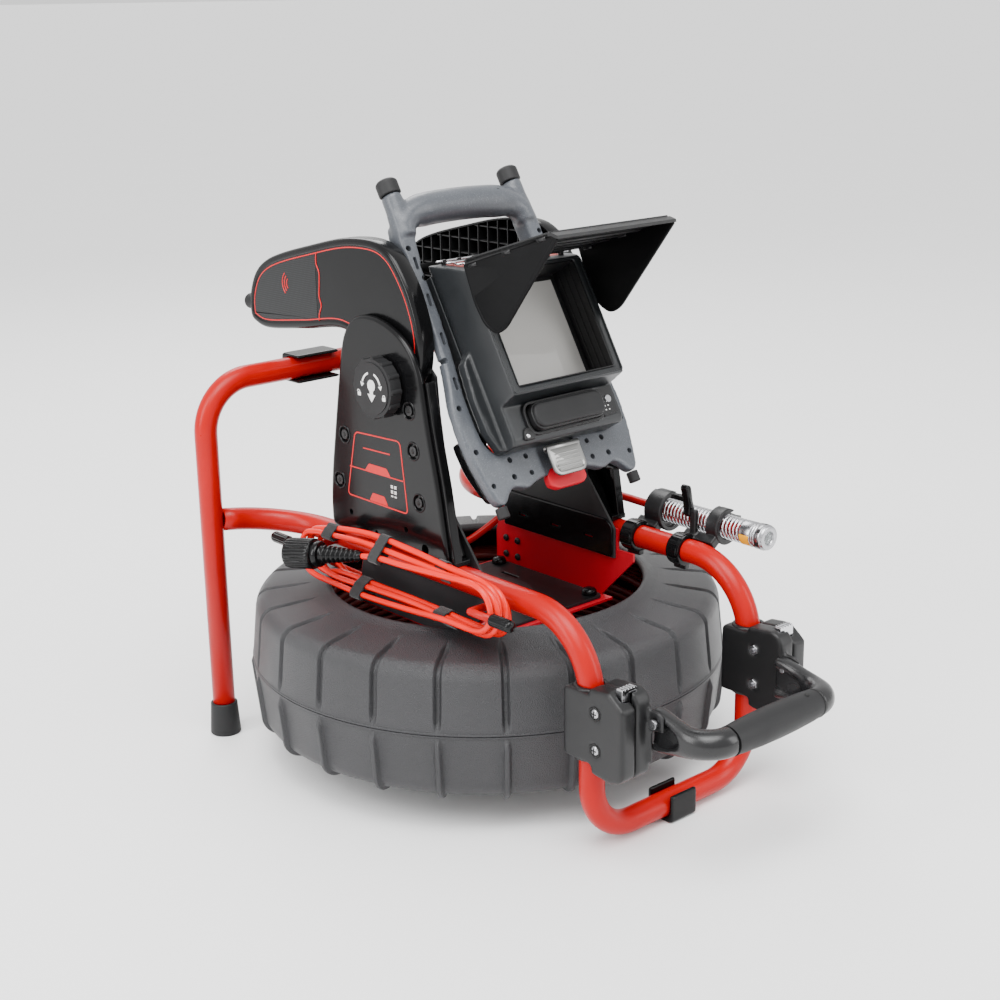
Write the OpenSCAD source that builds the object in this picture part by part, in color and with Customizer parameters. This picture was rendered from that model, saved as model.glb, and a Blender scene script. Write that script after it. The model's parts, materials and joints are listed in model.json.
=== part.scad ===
// Drain inspection camera: a flat drum reel of push cable in a red tube
// frame, with a tilting docking cradle that carries a portable monitor, a
// folding front handle, a camera head on clips and a hung system cable.
// Units are millimetres. X is the width, -Y is the front, +Z is up.
// Standing height of the two rear feet and the front loop clip is z = 0.

/* [Tube frame] */
// Outer diameter of the frame tubes
tube_d = 25.4; // [24.8:0.2:25.6]
// Wall thickness of the frame tubes
tube_wall = 2; // [1.5:0.25:3]
// Half spacing of the two side tubes
side_x = 116; // [115:0.5:117]
// Height of the side tubes
side_z = 239; // [238:0.5:240]
// Height of the rear top bar
bar_z = 412; // [406:1:416]

/* [Drum] */
// Outside radius of the drum at its seam
drum_r = 265; // [255:1:265]
// Radius of the drum's top opening
rim_r = 174; // [170:1:178]
// Wall thickness of the drum shells
drum_wall = 5; // [4:0.5:6]

/* [Hub] */
// Radius of the hub shaft
shaft_r = 10; // [9:0.5:11]

/* [Docking cradle] */
// Thickness of each docking arm
arm_t = 19; // [16:1:19]
// Height of the tilt axis
tilt_z = 428; // [424:1:432]

/* [Monitor] */
// Backward lean of the monitor in degrees
lean = 30.5; // [28:0.5:32]
// Half width of the monitor housing
mon_w = 76; // [72:1:78]

/* [Front handle] */
// Radius of the handle grip
grip_r = 17; // [14:0.5:17]

/* [Hidden] */

yo = 75.5;                   // moves the drum axis so the box is centred
tr = tube_d / 2;
fz = 16;                     // height of the front loop's bottom run
fy = -283;                   // the front loop's vertical runs
leg_x = 222; leg_y = 212;
piv_y = 6;                   // tilt axis
hy = -353; hz = 156;         // handle fold axis
ci = [150, 264];             // camera axis x, z
m0 = [0, -137.5, 322];       // foot of the monitor's back plane
arm_x = 102;                 // inner face of each docking arm
$fn = 64;

module at() translate([0, yo, 0]) children();
module mir() { children(); mirror([1, 0, 0]) children(); }
module mon() at() translate(m0) rotate([-lean, 0, 0]) children();
// A prism along X of a polygon given as [y, z] points
module xprism(x0, x1, pts)
  translate([x0, 0, 0]) rotate([90, 0, 90]) linear_extrude(x1 - x0) polygon(pts);
// The same for a child shape drawn in y, z
module xpush(x0, x1)
  translate([x0, 0, 0]) rotate([90, 0, 90]) linear_extrude(x1 - x0) children();
module rrect(w, h, r) {
  square([w - 2 * r, h], center = true);
  square([w, h - 2 * r], center = true);
  for (i = [-1, 1], j = [-1, 1]) translate([i * (w / 2 - r), j * (h / 2 - r)]) circle(r = r, $fn = 32);
}
module xcyl(x0, x1, r, y, z) translate([x0, y, z]) rotate([0, 90, 0]) cylinder(r = r, h = x1 - x0);
module run(l, w = tube_wall) difference() {
  cylinder(r = tr, h = l);
  translate([0, 0, -1]) cylinder(r = tr - w, h = l + 2);
}
module bend(rad, ang, w = tube_wall) rotate_extrude(angle = ang, $fn = 96) translate([rad, 0]) difference() {
  circle(r = tr);
  circle(r = tr - w);
}

// ---- tube frame -------------------------------------------------------
module loop_half() {
  // side tube, running forward
  translate([side_x, 134, side_z]) rotate([90, 0, 0]) run(134 + 207);
  // rear bend outwards, tilted up to the leg
  translate([side_x, 134, side_z]) rotate([0, -9.6, 0]) {
    translate([78, 0, 0]) rotate([0, 0, 90]) bend(78, 90);
    translate([78, 78, 0]) rotate([0, 90, 0]) run(19);
  }
  // front bend down
  translate([side_x, -207, side_z - 76]) rotate([0, -90, 0]) rotate([0, 0, -90]) bend(76, 90);
  translate([side_x, fy, fz + 55]) run(side_z - 76 - fz - 55);
  translate([side_x - 55, fy, fz + 55]) rotate([90, 0, 0]) rotate([0, 0, -90]) bend(55, 90);
}
module front_loop_tube() color([0.85, 0.1, 0.08]) at() {
  mir() loop_half();
  translate([-(side_x - 55), fy, fz]) rotate([0, 90, 0]) run(2 * (side_x - 55));
}
module rear_leg_frame() color([0.85, 0.1, 0.08]) at() {
  mir() {
    translate([leg_x, leg_y, 6]) run(bar_z - 57 - 6);
    translate([leg_x - 57, leg_y, bar_z - 57]) rotate([90, 0, 0]) bend(57, 90);
  }
  translate([-(leg_x - 57), leg_y, bar_z]) rotate([0, 90, 0]) run(2 * (leg_x - 57));
}
module leg_feet() color([0.08, 0.08, 0.08]) at() mir() translate([leg_x, leg_y, 0]) difference() {
  rotate_extrude() polygon([[0, 0], [16.5, 0], [17.5, 1.5], [17.3, 6], [15.3, 37], [14.3, 38], [0, 38]]);
  translate([0, 0, 6]) cylinder(r = tr, h = 40);
}
module loop_foot_clip() color([0.08, 0.08, 0.08]) at() difference() {
  xpush(-18, 20) translate([fy, 15.5]) rrect(34, 31, 3);
  xcyl(-30, 30, tr, fy, fz);
  translate([-30, fy - tr + 0.4, fz]) cube([60, 2 * tr - 0.8, 30]);
}
module top_bar_clip() color([0.08, 0.08, 0.08]) at() difference() {
  xpush(-107, -49) translate([leg_y - 1, bar_z]) rrect(33, 33, 3);
  xcyl(-120, -40, tr, leg_y, bar_z);
  translate([-120, leg_y - 30, bar_z - tr + 0.4]) cube([80, 30, 2 * tr - 0.8]);
}

// ---- hub and bracket --------------------------------------------------
brk_z = 160;
module hub_bracket() color([0.75, 0.07, 0.07]) at() difference() {
  union() {
    translate([-103.2, -96, brk_z]) cube([206.4, 192, 3]);
    for (s = [0, 1]) mirror([s, 0, 0]) xprism(100.2, 103.2,
      [[96, brk_z], [-78, brk_z], [-130, 213], [-130, 222], [-106, 222], [-106, 246], [83, 246], [96, 200]]);
  }
  translate([0, 0, brk_z - 1]) cylinder(r = shaft_r, h = 6);
  for (a = [45 : 90 : 315]) rotate([0, 0, a]) translate([40, 0, brk_z - 1]) cylinder(r = 2.5, h = 6);
}
module bracket_cover() color([0.07, 0.07, 0.07]) at() difference() {
  union() {
    translate([0, -2, brk_z + 3]) linear_extrude(4) rrect(190, 176, 8);
    translate([0, 0, brk_z + 3]) cylinder(r = 52, h = 8);
  }
  translate([0, 0, brk_z + 2]) cylinder(r = 36, h = 12);
  translate([-60, -52, brk_z + 2]) cylinder(r = 14, h = 12);
  for (x = [-70, 62]) translate([x, 20, brk_z + 2]) cube([4, 26, 12]);
}
module button_head(r, h) {
  cylinder(r = r, h = h * 0.5);
  translate([0, 0, h * 0.5]) cylinder(r1 = r, r2 = r * 0.6, h = h * 0.5);
}
module frame_screws() color([0.1, 0.1, 0.1]) at() {
  for (x = [-84, 84], y = [-78, 74]) translate([x, y, brk_z + 7]) button_head(6, 4);
  mir() for (y = [58, 78], z = [174, 194]) translate([100.2, y, z]) rotate([0, -90, 0]) button_head(4.2, 3.5);
  mir() for (p = [[80, 363], [-37, 366], [92, 310], [-44, 312], [-32, 408]]) xcyl(127.5, 130.6, 5.4, p[0], p[1]);
}
module hub_shaft() color([0.6, 0.6, 0.62]) at() {
  translate([0, 0, 20]) cylinder(r = shaft_r, h = brk_z + 3 - 20);
  translate([0, 0, brk_z + 3]) cylinder(r = 16, h = 4);
  translate([0, 0, brk_z - 9]) difference() { cylinder(r = 15, h = 9); translate([0, 0, -1]) cylinder(r = shaft_r, h = 11); }
}
module slip_ring() color([0.72, 0.55, 0.25]) at() translate([0, 0, brk_z + 7]) {
  difference() {
    union() { cylinder(r = 26, h = 5); cylinder(r = 20, h = 12); for (z = [2, 7]) translate([0, 0, z]) cylinder(r = 21.5, h = 2.4); }
    translate([0, 0, 6]) cylinder(r = 11, h = 12);
  }
}
module hub_nut() color([0.6, 0.6, 0.62]) at() difference() {
  translate([0, 0, 21]) union() { cylinder(r = 15, h = 9, $fn = 6); translate([0, 0, 9]) cylinder(r = 17, h = 2); }
  translate([0, 0, 18]) cylinder(r = shaft_r, h = 20);
}

// ---- drum -------------------------------------------------------------
function arcp(cx, cz, r, a0, a1, n) = [for (i = [0 : n]) [cx + r * cos(a0 + (a1 - a0) * i / n), cz + r * sin(a0 + (a1 - a0) * i / n)]];
module drum_upper() color([0.2, 0.2, 0.2]) at() difference() {
  rotate_extrude($fn = 128) union() {
    polygon(concat([[drum_r, 113.6]], arcp(drum_r - 24, 167, 18, 5, 80, 8),
      [[rim_r + 6, 192], [rim_r + 6, 192 - drum_wall]],
      arcp(drum_r - 24, 167, 18 - drum_wall, 80, 5, 8), [[drum_r - drum_wall, 113.6]]));
    translate([rim_r + 5, 190]) circle(r = 5, $fn = 32);
  }
  for (a = [7.5 : 15 : 352.5]) rotate([0, 0, a]) rotate([90, 0, 0]) linear_extrude(8, center = true)
    polygon(concat([[drum_r + 4, 116]], [[drum_r - 2.2, 116]], arcp(drum_r - 24, 167, 14.6, 5, 80, 5), [[203, 187.2], [198, 200], [drum_r + 4, 200]]));
}
module drum_lower() color([0.2, 0.2, 0.2]) at() difference() {
  rotate_extrude($fn = 128) polygon(concat([[drum_r, 113.6]], arcp(drum_r - 24, 60, 18, -5, -80, 8),
    [[200, 36], [60, 36], [34, 40], [34, 45], [60, 41], [200, 41]],
    arcp(drum_r - 24, 60, 18 - drum_wall, -80, -5, 8), [[drum_r - drum_wall, 113.6]]));
  for (a = [7.5 : 15 : 352.5]) rotate([0, 0, a]) rotate([90, 0, 0]) linear_extrude(8, center = true)
    polygon(concat([[drum_r + 4, 111]], [[drum_r - 2.2, 111]], arcp(drum_r - 24, 60, 14.6, -5, -80, 5), [[203, 39.3], [198, 28], [drum_r + 4, 28]]));
}
module drum_hub() color([0.12, 0.12, 0.12]) at() difference() {
  union() {
    translate([0, 0, 38]) cylinder(r = 34, h = 94);
    translate([0, 0, 45]) cylinder(r = 52, h = 6);
  }
  translate([0, 0, 37]) cylinder(r = 14, h = 100);
  translate([0, 0, 37]) cylinder(r = 22, h = 15);
  translate([0, 0, 120]) cylinder(r = 22, h = 15);
}
module hub_bearings() color([0.6, 0.6, 0.62]) at() for (z = [38, 120]) translate([0, 0, z]) difference() {
  cylinder(r = 22, h = 12);
  translate([0, 0, -1]) cylinder(r = shaft_r + 0.05, h = 14);
}
module push_cable_coil() color([0.45, 0.1, 0.08]) at() rotate_extrude($fn = 96)
  translate([210, 101]) rrect(44, 104, 16);

// ---- cradle towers and arms --------------------------------------------
cov = [[110, 254], [111, 285], [107, 321], [95, 388], [84, 446], [79, 468], [68, 486], [52, 496], [35, 498],
  [12, 496], [-8, 490], [-26, 480], [-42, 464], [-52, 440], [-60, 392], [-74, 333], [-80, 300], [-88, 254]];
module side_cover(s) mirror([s, 0, 0]) difference() {
  union() {
    xprism(124, 130, cov);
    // inward front flange
    xprism(114.2, 126, [[-52, 440], [-60, 392], [-74, 333], [-80, 300], [-88, 254], [-94, 254], [-86, 300], [-80, 333], [-66, 392], [-57, 440]]);
    xprism(104, 126, [[110, 251.2], [-94, 251.2], [-94, 257], [110, 257]]);
  }
  xcyl(120, 140, 9, piv_y, tilt_z);
  for (p = [[80, 363], [-37, 366], [92, 310], [-44, 312], [-32, 408]]) xcyl(127.5, 140, 8.5, p[0], p[1]);
  for (p = [[74, 277], [-21, 278]]) xcyl(120, 140, 3, p[0], p[1]);
}
module side_cover_left() color([0.05, 0.05, 0.05]) at() side_cover(1);
module side_cover_right() color([0.05, 0.05, 0.05]) at() side_cover(0);
module dock_plate(s) mirror([s, 0, 0]) difference() {
  xprism(97.2, 100.2, [[78, 212], [-104, 212], [-104, 246], [-60, 300], [-44, 400], [-40, 440], [-16, 462], [28, 462], [52, 440], [78, 300]]);
  xcyl(90, 110, 9, piv_y, tilt_z);
  for (y = [-70, -14, 42]) translate([90, y, 226]) cube([20, 18, 4]);
}
module dock_plate_left() color([0.06, 0.06, 0.06]) at() dock_plate(1);
module dock_plate_right() color([0.06, 0.06, 0.06]) at() dock_plate(0);
module tilt_bolts() color([0.6, 0.6, 0.62]) at() mir() {
  xcyl(94.5, 139, 8, piv_y, tilt_z);
  xcyl(92, 97.2, 14, piv_y, tilt_z);
}
module knob() difference() {
  union() {
    xcyl(131, 148, 27, piv_y, tilt_z);
    xcyl(133, 147, 31, piv_y, tilt_z);
    for (a = [0 : 30 : 330]) translate([0, piv_y, tilt_z]) rotate([a, 0, 0]) xcyl(133.5, 146.5, 3, 0, 30);
  }
  xcyl(125, 140, 8.05, piv_y, tilt_z);
}
module lock_knob_right() color([0.06, 0.06, 0.06]) at() knob();
module lock_knob_left() color([0.06, 0.06, 0.06]) at() mirror([1, 0, 0]) knob();
armp = [[262, 464], [235, 457], [83, 474], [40, 444], [30, 404], [-18, 404], [-34, 430], [-42, 478],
  [-28, 523], [-3, 561], [12, 570], [30, 575], [76, 574], [138, 562], [227, 537], [252, 520], [264, 497]];
armi = [[240, 472], [90, 484], [40, 462], [-22, 470], [-20, 506], [6, 546], [26, 562], [74, 561], [136, 549], [222, 525], [246, 506]];
module arm(s) mirror([s, 0, 0]) difference() {
  union() {
    difference() {
      xprism(arm_x, arm_x + arm_t, armp);
      xprism(arm_x - 1, arm_x + arm_t - 4, armi);
    }
    for (y = [20, 70, 120, 170, 220]) translate([arm_x + 1, y, 470]) cube([arm_t - 4, 3, 84 - (y - 20) * 0.18]);
    xcyl(arm_x + 1, arm_x + arm_t - 3, 10, 200, 505);
  }
  xcyl(arm_x - 5, arm_x + arm_t + 5, 8.05, piv_y, tilt_z);
  xcyl(arm_x - 5, arm_x + 12, 6, 200, 505);
}
module arm_left() color([0.06, 0.06, 0.06]) at() arm(1);
module arm_right() color([0.06, 0.06, 0.06]) at() arm(0);
module arm_cross_tube() color([0.2, 0.2, 0.2]) at() xcyl(-arm_x - 12, arm_x + 12, 6, 200, 505);
module arm_end_knobs() color([0.05, 0.05, 0.05]) at() mir() translate([arm_x + 9.5, 262, 484]) rotate([-97, 0, 0]) cylinder(r1 = 7, r2 = 9, h = 14);

// ---- monitor (local x, -normal, up) -----------------------------------
// Prism along the monitor's normal of [x, u] points, n0 to n1
module mprism(n0, n1, pts) translate([0, -n0, 0]) rotate([90, 0, 0]) linear_extrude(n1 - n0) polygon(pts);
module mcyl(n0, n1, r, x, u) translate([x, -n0, u]) rotate([90, 0, 0]) cylinder(r = r, h = n1 - n0);
railp = [[90, 0], [100, 2], [108, 30], [113, 62], [112, 110], [101.5, 154], [99, 205], [97, 240], [97, 268], [98, 296],
  [95, 322], [95, 344], [73, 344], [72, 326], [66, 318], [66, 306], [76, 298], [84, 272], [84, 240], [85, 200],
  [89, 160], [93, 110], [92, 70], [84, 50], [66, 52], [44, 60], [30, 60], [30, 20], [52, 12], [72, 16], [84, 8]];
holes = [[86, 250, 3.4], [99, 160, 3.4], [104.5, 108, 3.4], [104, 60, 3.4], [66, 44, 3.4], [68, 26, 3.4], [44, 44, 3.2], [44, 26, 3.2], [98, 22, 3.2]];
module monitor_frame() color([0.28, 0.3, 0.32]) mon() difference() {
  union() {
    mir() mprism(-14, -1, railp);
    mprism(-14, -5, [[-40, 22], [40, 22], [40, 60], [-40, 60]]);
    mir() translate([23.6, -12, 40]) cube([4, 18, 8]);
    translate([-26, -7, 44]) rotate([0, 90, 0]) cylinder(r = 1.5, h = 52);
    mir() mprism(-30, -13, [[80, 270], [97, 262], [98, 300], [90, 312], [80, 312]]);
    mir() translate([84, 7.5, 320]) cylinder(r = 11, h = 26);
  }
  mir() for (h = holes) mcyl(-20, 5, h[2], h[0], h[1]);
  mir() for (s = [[90, 226], [95, 183], [101, 138]]) mprism(-20, 5, [[s[0] - 2, s[1] - 7], [s[0] + 2, s[1] - 7], [s[0] + 1, s[1] + 7], [s[0] - 3, s[1] + 7]]);
}
module monitor_housing() color([0.14, 0.15, 0.16]) mon() difference() {
  union() {
    // display box, deeper at the top
    translate([-mon_w - 2, 0, 0]) rotate([90, 0, 90]) linear_extrude(2 * mon_w + 4)
      polygon([[-55, 96], [-56, 230], [-51, 234], [0, 262], [0, 50], [-26, 50], [-30, 56], [-30, 92]]);
    mir() mprism(0, 12, [[76, 162], [88, 150], [92, 110], [91, 74], [83, 52], [60, 50]]);
    mir() mprism(-1, 1, [[79.2, 158], [88, 150], [92, 110], [91, 74], [83, 52], [79.2, 52]]);
  }
  // display well and inner cavity
  mprism(17, 70, [[-68, 104], [68, 104], [68, 226], [-68, 226]]);
  translate([-70, -18, 56]) cube([140, 19, 190]);
  // battery bay and key pocket
  mprism(14, 40, [[-52, 58], [48, 58], [48, 89], [-52, 89]]);
}
module monitor_back() color([0.12, 0.12, 0.13]) mon() difference() {
  translate([-79, 0.3, 70]) cube([158, 22, 180]);
  for (u = [90 : 14 : 230]) translate([-60, 14, u]) cube([120, 10, 6]);
  translate([-75, -1, 74]) cube([150, 19, 172]);
}
module screen_panel() color([0.35, 0.35, 0.34]) mon() mprism(14, 18, [[-69.6, 100], [69.6, 100], [69.6, 230], [-69.6, 230]]);
module monitor_grip() color([0.28, 0.3, 0.32]) mon() difference() {
  union() {
    translate([-71.5, 7.5, 327]) rotate([0, 90, 0]) cylinder(r1 = 12.5, r2 = 17, h = 36);
    translate([-35.5, 7.5, 327]) rotate([0, 90, 0]) cylinder(r = 17, h = 71);
    translate([35.5, 7.5, 327]) rotate([0, 90, 0]) cylinder(r1 = 17, r2 = 12.5, h = 36);
  }
  mcyl(0, 20, 3, 47, 331);
}
module corner_caps() color([0.09, 0.09, 0.09]) mon() {
  mir() translate([84, 7.5, 346]) { cylinder(r = 12, h = 14); translate([0, 0, 14]) cylinder(r1 = 12, r2 = 9, h = 3); }
  mir() translate([95, 7, -12]) cylinder(r = 6.5, h = 12);
}
module battery_pack() color([0.05, 0.05, 0.05]) mon() translate([-2, -14, 73.5]) rotate([90, 0, 0]) linear_extrude(26) rrect(99, 30, 12);
module keypad() color([0.1, 0.1, 0.1]) mon() difference() {
  mprism(30, 33, [[50, 58], [70, 60], [71, 90], [50, 88]]);
  mcyl(28, 40, 4.1, 62, 76);
}
module power_button() color([0.5, 0.5, 0.5]) mon() { mcyl(31, 34.5, 4, 62, 76); }
module latch_flap() color([0.75, 0.75, 0.76]) mon() {
  translate([-23, -7, 14]) difference() {
    union() {
      translate([0, -3, 0]) cube([46, 3, 30]);
      for (u = [2, 8, 14]) translate([4, -4.5, u]) cube([38, 2, 3]);
      translate([0, 0, 30]) rotate([0, 90, 0]) cylinder(r = 4, h = 46);
    }
    translate([-1, 0, 30]) rotate([0, 90, 0]) cylinder(r = 1.55, h = 50);
  }
}
// sunshade hinge line
sh = [60, 236];
module sunshade_top() color([0.08, 0.08, 0.08]) mon() {
  translate([-82, 0, 0]) rotate([90, 0, 90]) linear_extrude(164)
    polygon([[-60, 241], [-190, 210], [-196, 204], [-195, 201], [-189, 206], [-61, 235.5]]);
  for (n = [92, 114, 136, 158]) translate([-70, -n, 235.5 - (n - 61) * 0.2305 - 2]) cube([140, 4, 3.2]);
  translate([-76, -60.5, 238.5]) rotate([0, 90, 0]) cylinder(r = 3.5, h = 152);
}
module sunshade_flaps() color([0.06, 0.06, 0.06]) mon() mir()
  xprism(79.2, 82, [[-60, 231], [-190, 205], [-193, 199], [-80, 160], [-68, 158], [-58, 166], [-52, 178], [-51, 196]]);

// ---- front clamps and folding handle -----------------------------------
clp = [[-268, 100], [-262.5, 104], [-262.5, 176], [-268, 181], [-290, 184], [-330, 188], [-338, 184], [-343, 176], [-343, 104], [-338, 98], [-326, 94]];
module clamp_body(x0, x1, s) mirror([s, 0, 0]) difference() {
  xprism(x0, x1, clp);
  translate([side_x, fy, 80]) cylinder(r = tr, h = 130);
  for (z = [123, 161]) xcyl(90, 140, 2.6, -306, z);
  // window for the release bar
  translate([side_x - 10.5, -333.5, 80]) cube([21, 9, 130]);
}
module clamp_outer_shells() color([0.1, 0.1, 0.1]) at() for (s = [0, 1]) clamp_body(side_x + 0.1, 136, s);
module clamp_inner_shells() color([0.1, 0.1, 0.1]) at() for (s = [0, 1]) mirror([s, 0, 0]) {
  clamp_body(96, side_x - 0.1, 0);
  difference() {
    xprism(98, 102, [[-342, 168], [-342, 112], [-348, 112], [-348, 146], [-363, 148], [-363, 164], [-357, 168]]);
    xcyl(90, 110, 3, hy, hz);
  }
}
module clamp_screws() color([0.7, 0.7, 0.72]) at() mir() for (z = [123, 161]) {
  xcyl(95, 137, 2.5, -306, z);
  xcyl(136, 138, 4.6, -306, z);
  translate([93.5, -306, z]) rotate([0, 90, 0]) cylinder(r = 4.6, h = 2.5, $fn = 6);
}
module release_bar() {
  translate([side_x - 10, -333, 99]) cube([20, 8, 90]);
  for (x = [-8 : 4 : 8]) translate([side_x + x, -329, 189]) rotate([90, 0, 0]) cylinder(r = 1.4, h = 8, center = true, $fn = 24);
}
module release_button_right() color([0.72, 0.72, 0.74]) at() release_bar();
module release_button_left() color([0.72, 0.72, 0.74]) at() mirror([1, 0, 0]) release_bar();
module harm(s) mirror([s, 0, 0]) difference() {
  union() {
    hull() { xcyl(85, 97.6, 8, hy, hz); xcyl(85, 97.6, 4, hy - 6, 117); translate([88, -388, 140]) sphere(r = 15, $fn = 32); }
    hull() { translate([88, -388, 142]) sphere(r = 15, $fn = 32); translate([63, -410, 145]) rotate([0, 90, 0]) cylinder(r = 14.5, h = 3, $fn = 32); }
  }
  xcyl(80, 110, 3, hy, hz);
  translate([97.7, -372, 90]) cube([20, 40, 100]);
}
module handle_arms() color([0.09, 0.09, 0.09]) at() for (s = [0, 1]) harm(s);
module handle_grip() color([0.13, 0.13, 0.13]) at() translate([0, -411, 145]) rotate([0, 90, 0]) rotate_extrude()
  polygon([[0, -62.5], [14.5, -62.5], [15.5, -50], [16.6, -25], [grip_r, 0], [16.6, 25], [15.5, 50], [14.5, 62.5], [0, 62.5]]);
module hinge_pins() color([0.6, 0.6, 0.62]) at() mir() { xcyl(84, 103.5, 2.92, hy, hz); xcyl(103.5, 107, 5, hy, hz); }

// ---- camera head on its clips -------------------------------------------
module ringclip(y0, y1, ri, ro, gap) {
  difference() {
    translate([ci[0], y1, ci[1]]) rotate([90, 0, 0]) cylinder(r = ro, h = y1 - y0);
    translate([ci[0], y1 + 1, ci[1]]) rotate([90, 0, 0]) cylinder(r = ri, h = y1 - y0 + 2);
    translate([ci[0], y0 - 1, ci[1]]) rotate([0, gap, 0]) translate([-12, 0, 0]) cube([24, y1 - y0 + 2, 40]);
  }
}
module tubeband(y0, y1) difference() {
  union() {
    translate([side_x, y1, side_z]) rotate([90, 0, 0]) cylinder(r = tr + 4, h = y1 - y0);
    translate([side_x - 4, y0, side_z - tr - 9]) cube([8, y1 - y0, 8]);
  }
  translate([side_x, y1 + 1, side_z]) rotate([90, 0, 0]) cylinder(r = tr, h = y1 - y0 + 2);
}
module clipweb(y0, y1, ri) difference() {
  translate([side_x, y0, side_z]) rotate([0, -36.3, 0]) translate([13, 0, -5.5]) cube([11.5, y1 - y0, 11]);
  translate([side_x, y1 + 1, side_z]) rotate([90, 0, 0]) cylinder(r = tr, h = y1 - y0 + 2);
  translate([ci[0], y1 + 1, ci[1]]) rotate([90, 0, 0]) cylinder(r = ri, h = y1 - y0 + 2);
}
module camera_clip_rear() color([0.08, 0.08, 0.08]) at() {
  tubeband(-128, -110);
  ringclip(-140, -120, 18, 22, 60);
  clipweb(-140, -110, 18);
}
module camera_clip_front() color([0.08, 0.08, 0.08]) at() {
  tubeband(-196, -179);
  ringclip(-222, -208, 14, 19.5, 75);
  clipweb(-222, -179, 14);
  // post and pin for the thumb lever
  translate([126.5, -196, 250]) cube([6, 8, 31]);
  translate([129.5, -181, 277]) rotate([90, 0, 0]) cylinder(r = 2, h = 12);
}
module clip_lever() color([0.08, 0.08, 0.08]) at() difference() {
  union() {
    translate([129.5, -181, 277]) rotate([90, 0, 0]) cylinder(r = 4.5, h = 6);
    translate([0, -181.5, 0]) rotate([90, 0, 0]) linear_extrude(5) polygon([[126.2, 279.5], [132.6, 279.5], [130, 300], [124, 300]]);
    translate([123.5, -184, 302]) rotate([0, 90, 0]) cylinder(r = 7, h = 5);
  }
  translate([129.5, -170, 277]) rotate([90, 0, 0]) cylinder(r = 2.05, h = 30);
}
module camera_head() color([0.7, 0.7, 0.72]) at() translate([ci[0], -262, ci[1]]) rotate([90, 0, 0]) difference() {
  union() { cylinder(r = 13, h = 17); translate([0, 0, 4]) cylinder(r = 14, h = 10); translate([0, 0, -8]) cylinder(r = 9, h = 8); }
  translate([0, 0, 11]) cylinder(r = 7, h = 10);
}
module camera_window() color([0.6, 0.7, 0.75]) at() translate([ci[0], -262, ci[1]]) rotate([90, 0, 0]) { translate([0, 0, 11]) cylinder(r = 7, h = 4.5); }
module camera_band() color([0.95, 0.75, 0.1]) at() translate([ci[0], -248, ci[1]]) rotate([90, 0, 0]) difference() {
  cylinder(r = 13.6, h = 14);
  translate([0, 0, -1]) cylinder(r = 9, h = 20);
}
module camera_spring() color([0.8, 0.8, 0.82]) at() translate([ci[0], -118, ci[1]]) rotate([90, 0, 0]) difference() {
  cylinder(r = 13.5, h = 130);
  translate([0, 0, -1]) cylinder(r = 6, h = 140);
}

// ---- system cable on its cleat ------------------------------------------
cz = 236;                    // height of the cable cleat
module cleat_half(y0, d) {
  translate([-127.5, y0, cz]) rotate([0, -90, 0]) cylinder(r = 4, h = 41.5);
  translate([-169, y0, cz]) sphere(r = 4, $fn = 32);
  translate([-169, y0, cz]) rotate([-90 * d, 0, 0]) cylinder(r = 4, h = 40);
}
module cable_cleat() color([0.8, 0.1, 0.08]) at() { cleat_half(108, 1); cleat_half(-168, -1); }
module cleat_caps() color([0.05, 0.05, 0.05]) at() {
  for (q = [[108, 1], [-168, -1]]) translate([-169, q[0] + q[1] * 32, cz]) rotate([-90 * q[1], 0, 0]) difference() {
    union() { cylinder(r = 6.5, h = 26); translate([0, 0, 26]) cylinder(r1 = 6.5, r2 = 4, h = 3); }
    translate([0, 0, -1]) cylinder(r = 4, h = 9);
  }
}
hk_l = 272; hk_h = 64;
module system_cable_hank() color([0.95, 0.25, 0.12]) at() translate([-163, -32, 236.5]) rotate([-2, 0, 0]) xpush(0, 32) difference() {
  union() { square([hk_l, hk_h], center = true); for (s = [-1, 1]) translate([s * hk_l / 2, 0]) circle(r = hk_h / 2); }
  union() { square([hk_l, 24], center = true); for (s = [-1, 1]) translate([s * hk_l / 2, 0]) circle(r = 12); }
}
// Sweep of a round cord along a route of points
function unit(v) = v / norm(v);
function tan_at(p, i) = unit(p[min(i + 1, len(p) - 1)] - p[max(i - 1, 0)]);
module cord(p, r, n = 8) {
  up = [0.03, 0.05, 1];
  pts = [for (i = [0 : len(p) - 1]) let (t = tan_at(p, i), a = unit(cross(t, up)), b = cross(a, t))
    for (k = [0 : n - 1]) p[i] + r * (cos(360 * k / n) * a + sin(360 * k / n) * b)];
  fcs = concat([[for (k = [0 : n - 1]) k]], [[for (k = [n - 1 : -1 : 0]) (len(p) - 1) * n + k]],
    [for (i = [0 : len(p) - 2]) for (k = [0 : n - 1]) [i * n + k, (i + 1) * n + k, (i + 1) * n + (k + 1) % n, i * n + (k + 1) % n]]);
  polyhedron(pts, fcs);
}
lead_r = 3.25;
lead_p = [[-171, 6, 252], [-169.5, -2, 253], [-168, -11, 254], [-166.8, -22, 255], [-166.3, -36, 255.5], [-166.3, -52, 256]];
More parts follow.
